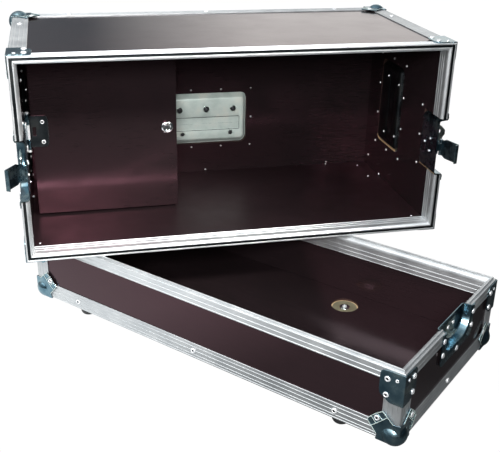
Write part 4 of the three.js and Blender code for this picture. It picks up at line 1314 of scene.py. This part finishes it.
def hinge():
    """Door leaf and knuckle, wall leaf with its two knuckles, and the pin with its heads."""
    x, y, radius = HINGE["x"], HINGE["y"], HINGE["radius"]
    low, high, knuckle = HINGE["low"], HINGE["high"], HINGE["knuckle"]
    middle = (low + knuckle, high - knuckle)
    face = DOOR_Y - GAP
    outline = rounded([(x + radius + 0.6, low, 2), (-331, low, 5), (-328, low + 8, 6), (-328, high - 8, 6),
                       (-331, high, 5), (x + radius + 0.6, high, 2)])
    window = rectangle(-356.4, -349.4, low + 21, high - 21, 1)
    leaf = together(plate(outline, face - SKIN, face, [window]),
                    plate(rectangle(x, x + radius + 2, *middle, 0.5), face - SKIN, face)).at(axes(X, Z, Y))
    # Hinge leaf in painted shade, with painted highlights on its bevels.
    hardware("hinge_door_plate", leaf, CASE, "door", [PAINTED_SHADE_ZINC, SATIN_HIGHLIGHT_ZINC], ["hinge_door_leaf"],
             bevel=0.7, trim=1)
    hardware("hinge_door_knuckle", knuckle_shape(x, y, radius, *middle), CASE, "door", [RIVET_STEEL],
             ["hinge_door_leaf"])
    spots = [((-338, face - SKIN, z), -Y) for z in (low + 9, high - 12)]
    dots("hinge_door_rivets", CASE, "door", spots, radius=4.0, height=1.4)

    wall = LINING - HALF
    side = rounded([(y - 50, low - 4, 6), (y, low - 4, 0), (y, high + 4, 0), (y - 50, high + 4, 6)])
    fixed = plate(side, wall, wall + SKIN).at(UPRIGHT)
    for z0, z1 in ((low - 4, middle[0] - GAP), (middle[1] + GAP, high + 4)):
        fixed.add(knuckle_shape(x, y, radius, z0, z1))
        fixed.add(plate(rectangle(wall, x, y - 2, y), z0, z1))
    hardware("hinge_wall_plate", fixed, CASE, "case", [ZINC], ["hinge_wall_leaf"], bevel=0.3)
    pin = bar(PIN_RADIUS, (x, y, low - 9), (x, y, high + 9))
    for z0, z1 in ((low - 9, low - 5.5), (high + 5.5, high + 9)):
        pin.add(bar(radius + 0.8, (x, y, z0), (x, y, z1), edge=1.2))
    hardware("hinge_pin", pin, CASE, "case", [RIVET_STEEL], ["hinge_wall_leaf"])
    spots = [((wall + SKIN, y - reach, z), X) for reach in (38, 20) for z in (low + 8, high - 8)]
    dots("hinge_wall_rivets", CASE, "case", spots, radius=3.8, height=1.3)


def knuckle_shape(x, y, radius, low, high):
    return bar(radius, (x, y, low), (x, y, high), sides=24, edge=0.3)


def lock():
    """Cam lock: domed bezel and threaded body, plug with a key slot, and cam behind the door."""
    place = CASE @ facing((LOCK["x"], DOOR_Y - GAP, LOCK["z"]), -Y)
    bezel_radius, body, plug_radius = LOCK["bezel"], LOCK["body"], LOCK["plug"]
    inner = plug_radius + 0.3
    through = BOARD + GAP + 4.9
    pitch = 0.55
    bezel = [(inner, 2.2), (inner + 1, 2.8), (inner + 2.6, 3.0), (bezel_radius - 1.4, 1.9),
             (bezel_radius, 0.6), (bezel_radius, 0.05), (body, 0)]
    thread = [(body - 0.45 * (step % 2), -0.5 - pitch * step) for step in range(int(through / pitch))]
    profile = bezel + thread + [(body - 0.6, -through), (inner, -through)]
    piece("lock_housing", tube(profile, 48), place, "door", "chrome", [CHROME], ["door_lock_housing"],
          angle=40)
    plug = revolve([(0, -through - 2.5), (plug_radius, -through - 2.5), (plug_radius, 1.9),
                    (plug_radius - 0.5, 2.5), (0, 2.5)], 40)
    plug = cut(plug, cuboid((-0.9, 0.9), (-3.4, 3.4), (1.0, 6)))
    piece("lock_plug", plug, place, "door_lock", "chrome", [CHROME], ["door_lock_barrel"], angle=40)
    # Painted shade: a dark block filling the key slot.
    key_slot_shade = cuboid((-0.8, 0.8), (-3.3, 3.3), (0.9, 1.15))
    piece("lock_key_slot_shade", key_slot_shade, place, "door_lock", "chrome", [HOLE_SHADE], ["door_lock_barrel"])
    outline = rounded([(-7, -7, 5), (7, -7, 5), (7, 20, 3), (4, 26, 3), (-4, 26, 3), (-7, 20, 3)])
    behind = DOOR_Y + BOARD + 7.4
    cam_place = CASE @ axes(X, -Z, -Y, (LOCK["x"], behind, LOCK["z"]))
    hardware("lock_cam", plate(outline, 0, 1.8), cam_place, "door_lock", [ZINC], ["door_lock_barrel"],
             bevel=0.25)


# ---------------------------------------------------------------- inside marks

def inside_tails():
    """Ends of the rivets that come through the boards and the pans into the box."""
    middle = WIDTH / 2
    board = [(END_HANDLE_Y + y, middle + z) for y, z in HANDLE_RIVETS]
    board += [(85, LATCH_Z + z) for z in (-DISH_RIVET_Z, 0, DISH_RIVET_Z)]
    for back, inset in ((PETAL_RIVET, PETAL_RIVET), (POST_RIVET, EDGE_LEG / 2)):
        board += [(CASE_DEPTH - back, z) for z in (inset, WIDTH - inset)]
    pan = [(END_HANDLE_Y - 43, middle + z) for z in (-54, 54)]
    pan += [(END_HANDLE_Y + 11, middle + z) for z in (-60, 60)]
    pan += [(51, LATCH_Z - 3), (29, LATCH_Z + 9), (29, LATCH_Z - 15)]
    pan_x = HALF - DISH_DEPTH - SKIN - 0.1
    ends = [((sign * x, y, z), X * -sign) for sign in (-1, 1)
            for x, spots in ((HALF - WALL, board), (pan_x, pan)) for y, z in spots]
    floor = [((x, y, WALL), Z) for x, y in ((350, 43), (-357, 49), (344, 265), (344, 334), (275, 355))]
    back_y = CASE_DEPTH - WALL
    back = [((x, back_y, EDGE_LEG / 2), -Y) for x in (-277, -2, 277)]
    back += [((x, back_y, BACK_HANDLE_Z + z), -Y) for z, x in HANDLE_RIVETS]
    dots("inside_tails_ends", CASE, "case", ends, maker=tail)
    dots("inside_tails_back", CASE, "case", floor + back, maker=tail, radius=1.8, height=1.1)


def pan_edge():
    """Turned edge of the right handle's pan where it shows in its hole inside the box."""
    place = CASE @ end_frame("right", WIDTH / 2)
    near = END_HANDLE_Y - 50.4
    strip = plate(rectangle(near, near + 1.1, -86, 79, 0.4), -WALL - 1.2, -WALL + 3).at(UPRIGHT)
    # Pale edges of this strip: partly wear, partly a painted highlight along the pan's edge.
    hardware("handle_pan_edge", strip, place, "case", [WORN_AND_GLINT_ZINC], bevel=0.3)


# ---------------------------------------------------------------- feet and floor bolt

def foot_shape():
    """Rubber foot, moulded with a collar, a rounded lower edge and a recess for its screw."""
    top, bottom, radius, edge = FACE - GAP, -FOOT_HEIGHT, FOOT_RADIUS, 9
    profile = [(0, top), (radius - 0.4, top), (radius - 0.4, -2), (radius - 0.1, -3), (radius - 0.1, -6),
               (radius - 0.9, -7)]
    for step in range(11):
        turn = math.pi / 2 * step / 10
        profile.append((radius - 1 - edge + edge * math.cos(turn), bottom + edge - edge * math.sin(turn)))
    profile += [(5.6, bottom + 0.1), (5.0, bottom + 0.8), (4.8, bottom + 7), (0, bottom + 7)]
    return revolve(profile, 40)


def foot_screw():
    """Head of a foot's screw, deep in its recess."""
    profile = [(0, 6.5), (4.7, 6.8), (4.4, 5.4), (2.4, 4.6), (1.6, 4.7), (1.2, 5.8), (0, 5.8)]
    return revolve([(radius, z - FOOT_HEIGHT) for radius, z in profile], 24, core=2)


def feet():
    rubber_foot, head = foot_shape(), foot_screw()
    for end, x in FOOT_ALONG.items():
        for side, z in FOOT_ACROSS.items():
            place = TRAY @ axes(X, Z, -Y, (x, TRAY_DEPTH, z))
            corner = f"{side}_{end}"
            node = f"tray_foot_{corner}"
            piece(f"foot_{corner}", rubber_foot, place, "tray", "rubber", [FOOT_RUBBER], [node], angle=40)
            hardware(f"foot_screw_{corner}", head, place, "tray", [RIVET_STEEL, HOLE_SHADE], [node])


def floor_bolt():
    """Flanged nut on a wide washer in the round recess of the tray floor."""
    floor = TRAY_DEPTH - WALL + FLOOR_RECESS["depth"]
    place = TRAY @ axes(X, Z, -Y, (FLOOR_RECESS["x"], floor, FLOOR_RECESS["z"]))
    flange = revolve([(0, 0.1), (9.6, 0.1), (10, 0.5), (9.6, 1.2), (6.2, 1.5), (5.4, 1.9), (5.0, 1.2),
                      (0, 1.0)], 40)
    hexagon = plate(circle(4.2, sides=6), 0.8, 2.6, [circle(1.6, sides=20)])
    hardware("floor_bolt_flange", flange, place, "tray", [BRIGHT_ZINC], bevel=0.1)
    hardware("floor_bolt_nut", hexagon, place, "tray", [RIVET_STEEL], bevel=0.25)
    disc = plate(circle(FLOOR_RECESS["radius"] - 2, sides=64), 0.02, 0.6, [circle(10.3, sides=40)])
    hardware("floor_bolt_washer", disc, place, "tray", [YELLOW_ZINC], bevel=0.15)


# ---------------------------------------------------------------- stage

def stage():
    far = 30
    floor = bpy.data.meshes.new("studio_floor")
    floor.from_pydata([(-far, -far, 0), (far, -far, 0), (far, far, 0), (-far, far, 0)], [], [(0, 1, 2, 3)])
    floor.materials.append(pale_floor())
    linked("studio_floor", floor)


def surroundings():
    """Room light by direction: bright overhead and to the upper left, a glow low behind, dark and bluish
    elsewhere. Seen past the floor it is plain white."""
    world = bpy.data.worlds.new("studio")
    bpy.context.scene.world = world
    world.use_nodes = True
    tree = world.node_tree
    direction = add_node(tree, "ShaderNodeTexCoord").outputs["Generated"]
    lift = along_axis(tree, direction, Vector((-0.42, 0.1, 0.9)).normalized())
    sky = tint(tree, spread(tree, lift, 0, 1, -0.4, 1.0), (0.2, (0.02, 0.028, 0.036)),
               (0.45, (0.12, 0.145, 0.165)), (0.68, (0.5, 0.54, 0.57)), (0.9, (0.95, 0.97, 1.0)))
    glow = calc(tree, "MULTIPLY", spread(tree, along_axis(tree, direction, X), 0, 1, 0.04, 0.24),
                spread(tree, along_axis(tree, direction, Y), 0, 1, 0.5, 0.78))
    glow = calc(tree, "MULTIPLY", glow, spread(tree, along_axis(tree, direction, Z), 1, 0, 0.52, 0.72))
    lit = mix(tree, glow, sky, (1.45, 1.42, 1.38, 1))
    seen = add_node(tree, "ShaderNodeLightPath").outputs["Is Camera Ray"]
    colour = mix(tree, seen, lit, (1, 1, 1, 1))
    feed(tree, tree.nodes["Background"], {"Color": colour, "Strength": 1.0})


def light(name, kind, place, target, power, colour, **settings):
    """A light at a place, in metres, that points at a target."""
    data = bpy.data.lights.new(name, kind)
    assign(data, {"energy": power, "color": colour, **settings})
    aim = (Vector(target) - Vector(place)).to_track_quat("-Z", "Y").to_matrix().to_4x4()
    linked(name, data).matrix_world = Matrix.Translation(place) @ aim


def lights():
    light("window", "AREA", (-1.6, -0.7, 2.5), (-0.1, -0.1, 0.2), 84, (0.97, 0.98, 1.0), size=3.4)
    light("flash", "AREA", (-0.35, -1.45, 1.0), (0, 0.1, 0.2), 38, (1.0, 1.0, 1.0), size=0.35)
    light("inside", "SPOT", (0.85, -1.2, 1.6), (-0.27, 0.12, 0.21), 400, (1.0, 0.97, 0.94),
          spot_size=math.radians(24), spot_blend=0.7, shadow_soft_size=0.15)


def camera():
    data = bpy.data.cameras.new("camera")
    data.lens = LENS
    data.sensor_width = SENSOR
    item = linked("camera", data)
    item.location = CAMERA_PLACE
    item.rotation_euler = [math.radians(turn) for turn in CAMERA_TURN]
    bpy.context.scene.camera = item


camera()
stage()
surroundings()
lights()
bpy.context.scene.view_settings.view_transform = "Standard"

BALL_CORNER = ball_corner_shape()
BRACE = brace_shape()
for half_name, half_spec in HALVES.items():
    rim(half_spec, half_name)
    edge_angles(half_spec, half_name)
    corners(half_spec, half_name)
    edge_rivets(half_spec, half_name)
board_materials()
door()
latch_dishes()
for latch_end in SIGNS:
    latch(latch_end)
handles()
hinge()
lock()
inside_tails()
pan_edge()
feet()
floor_bolt()
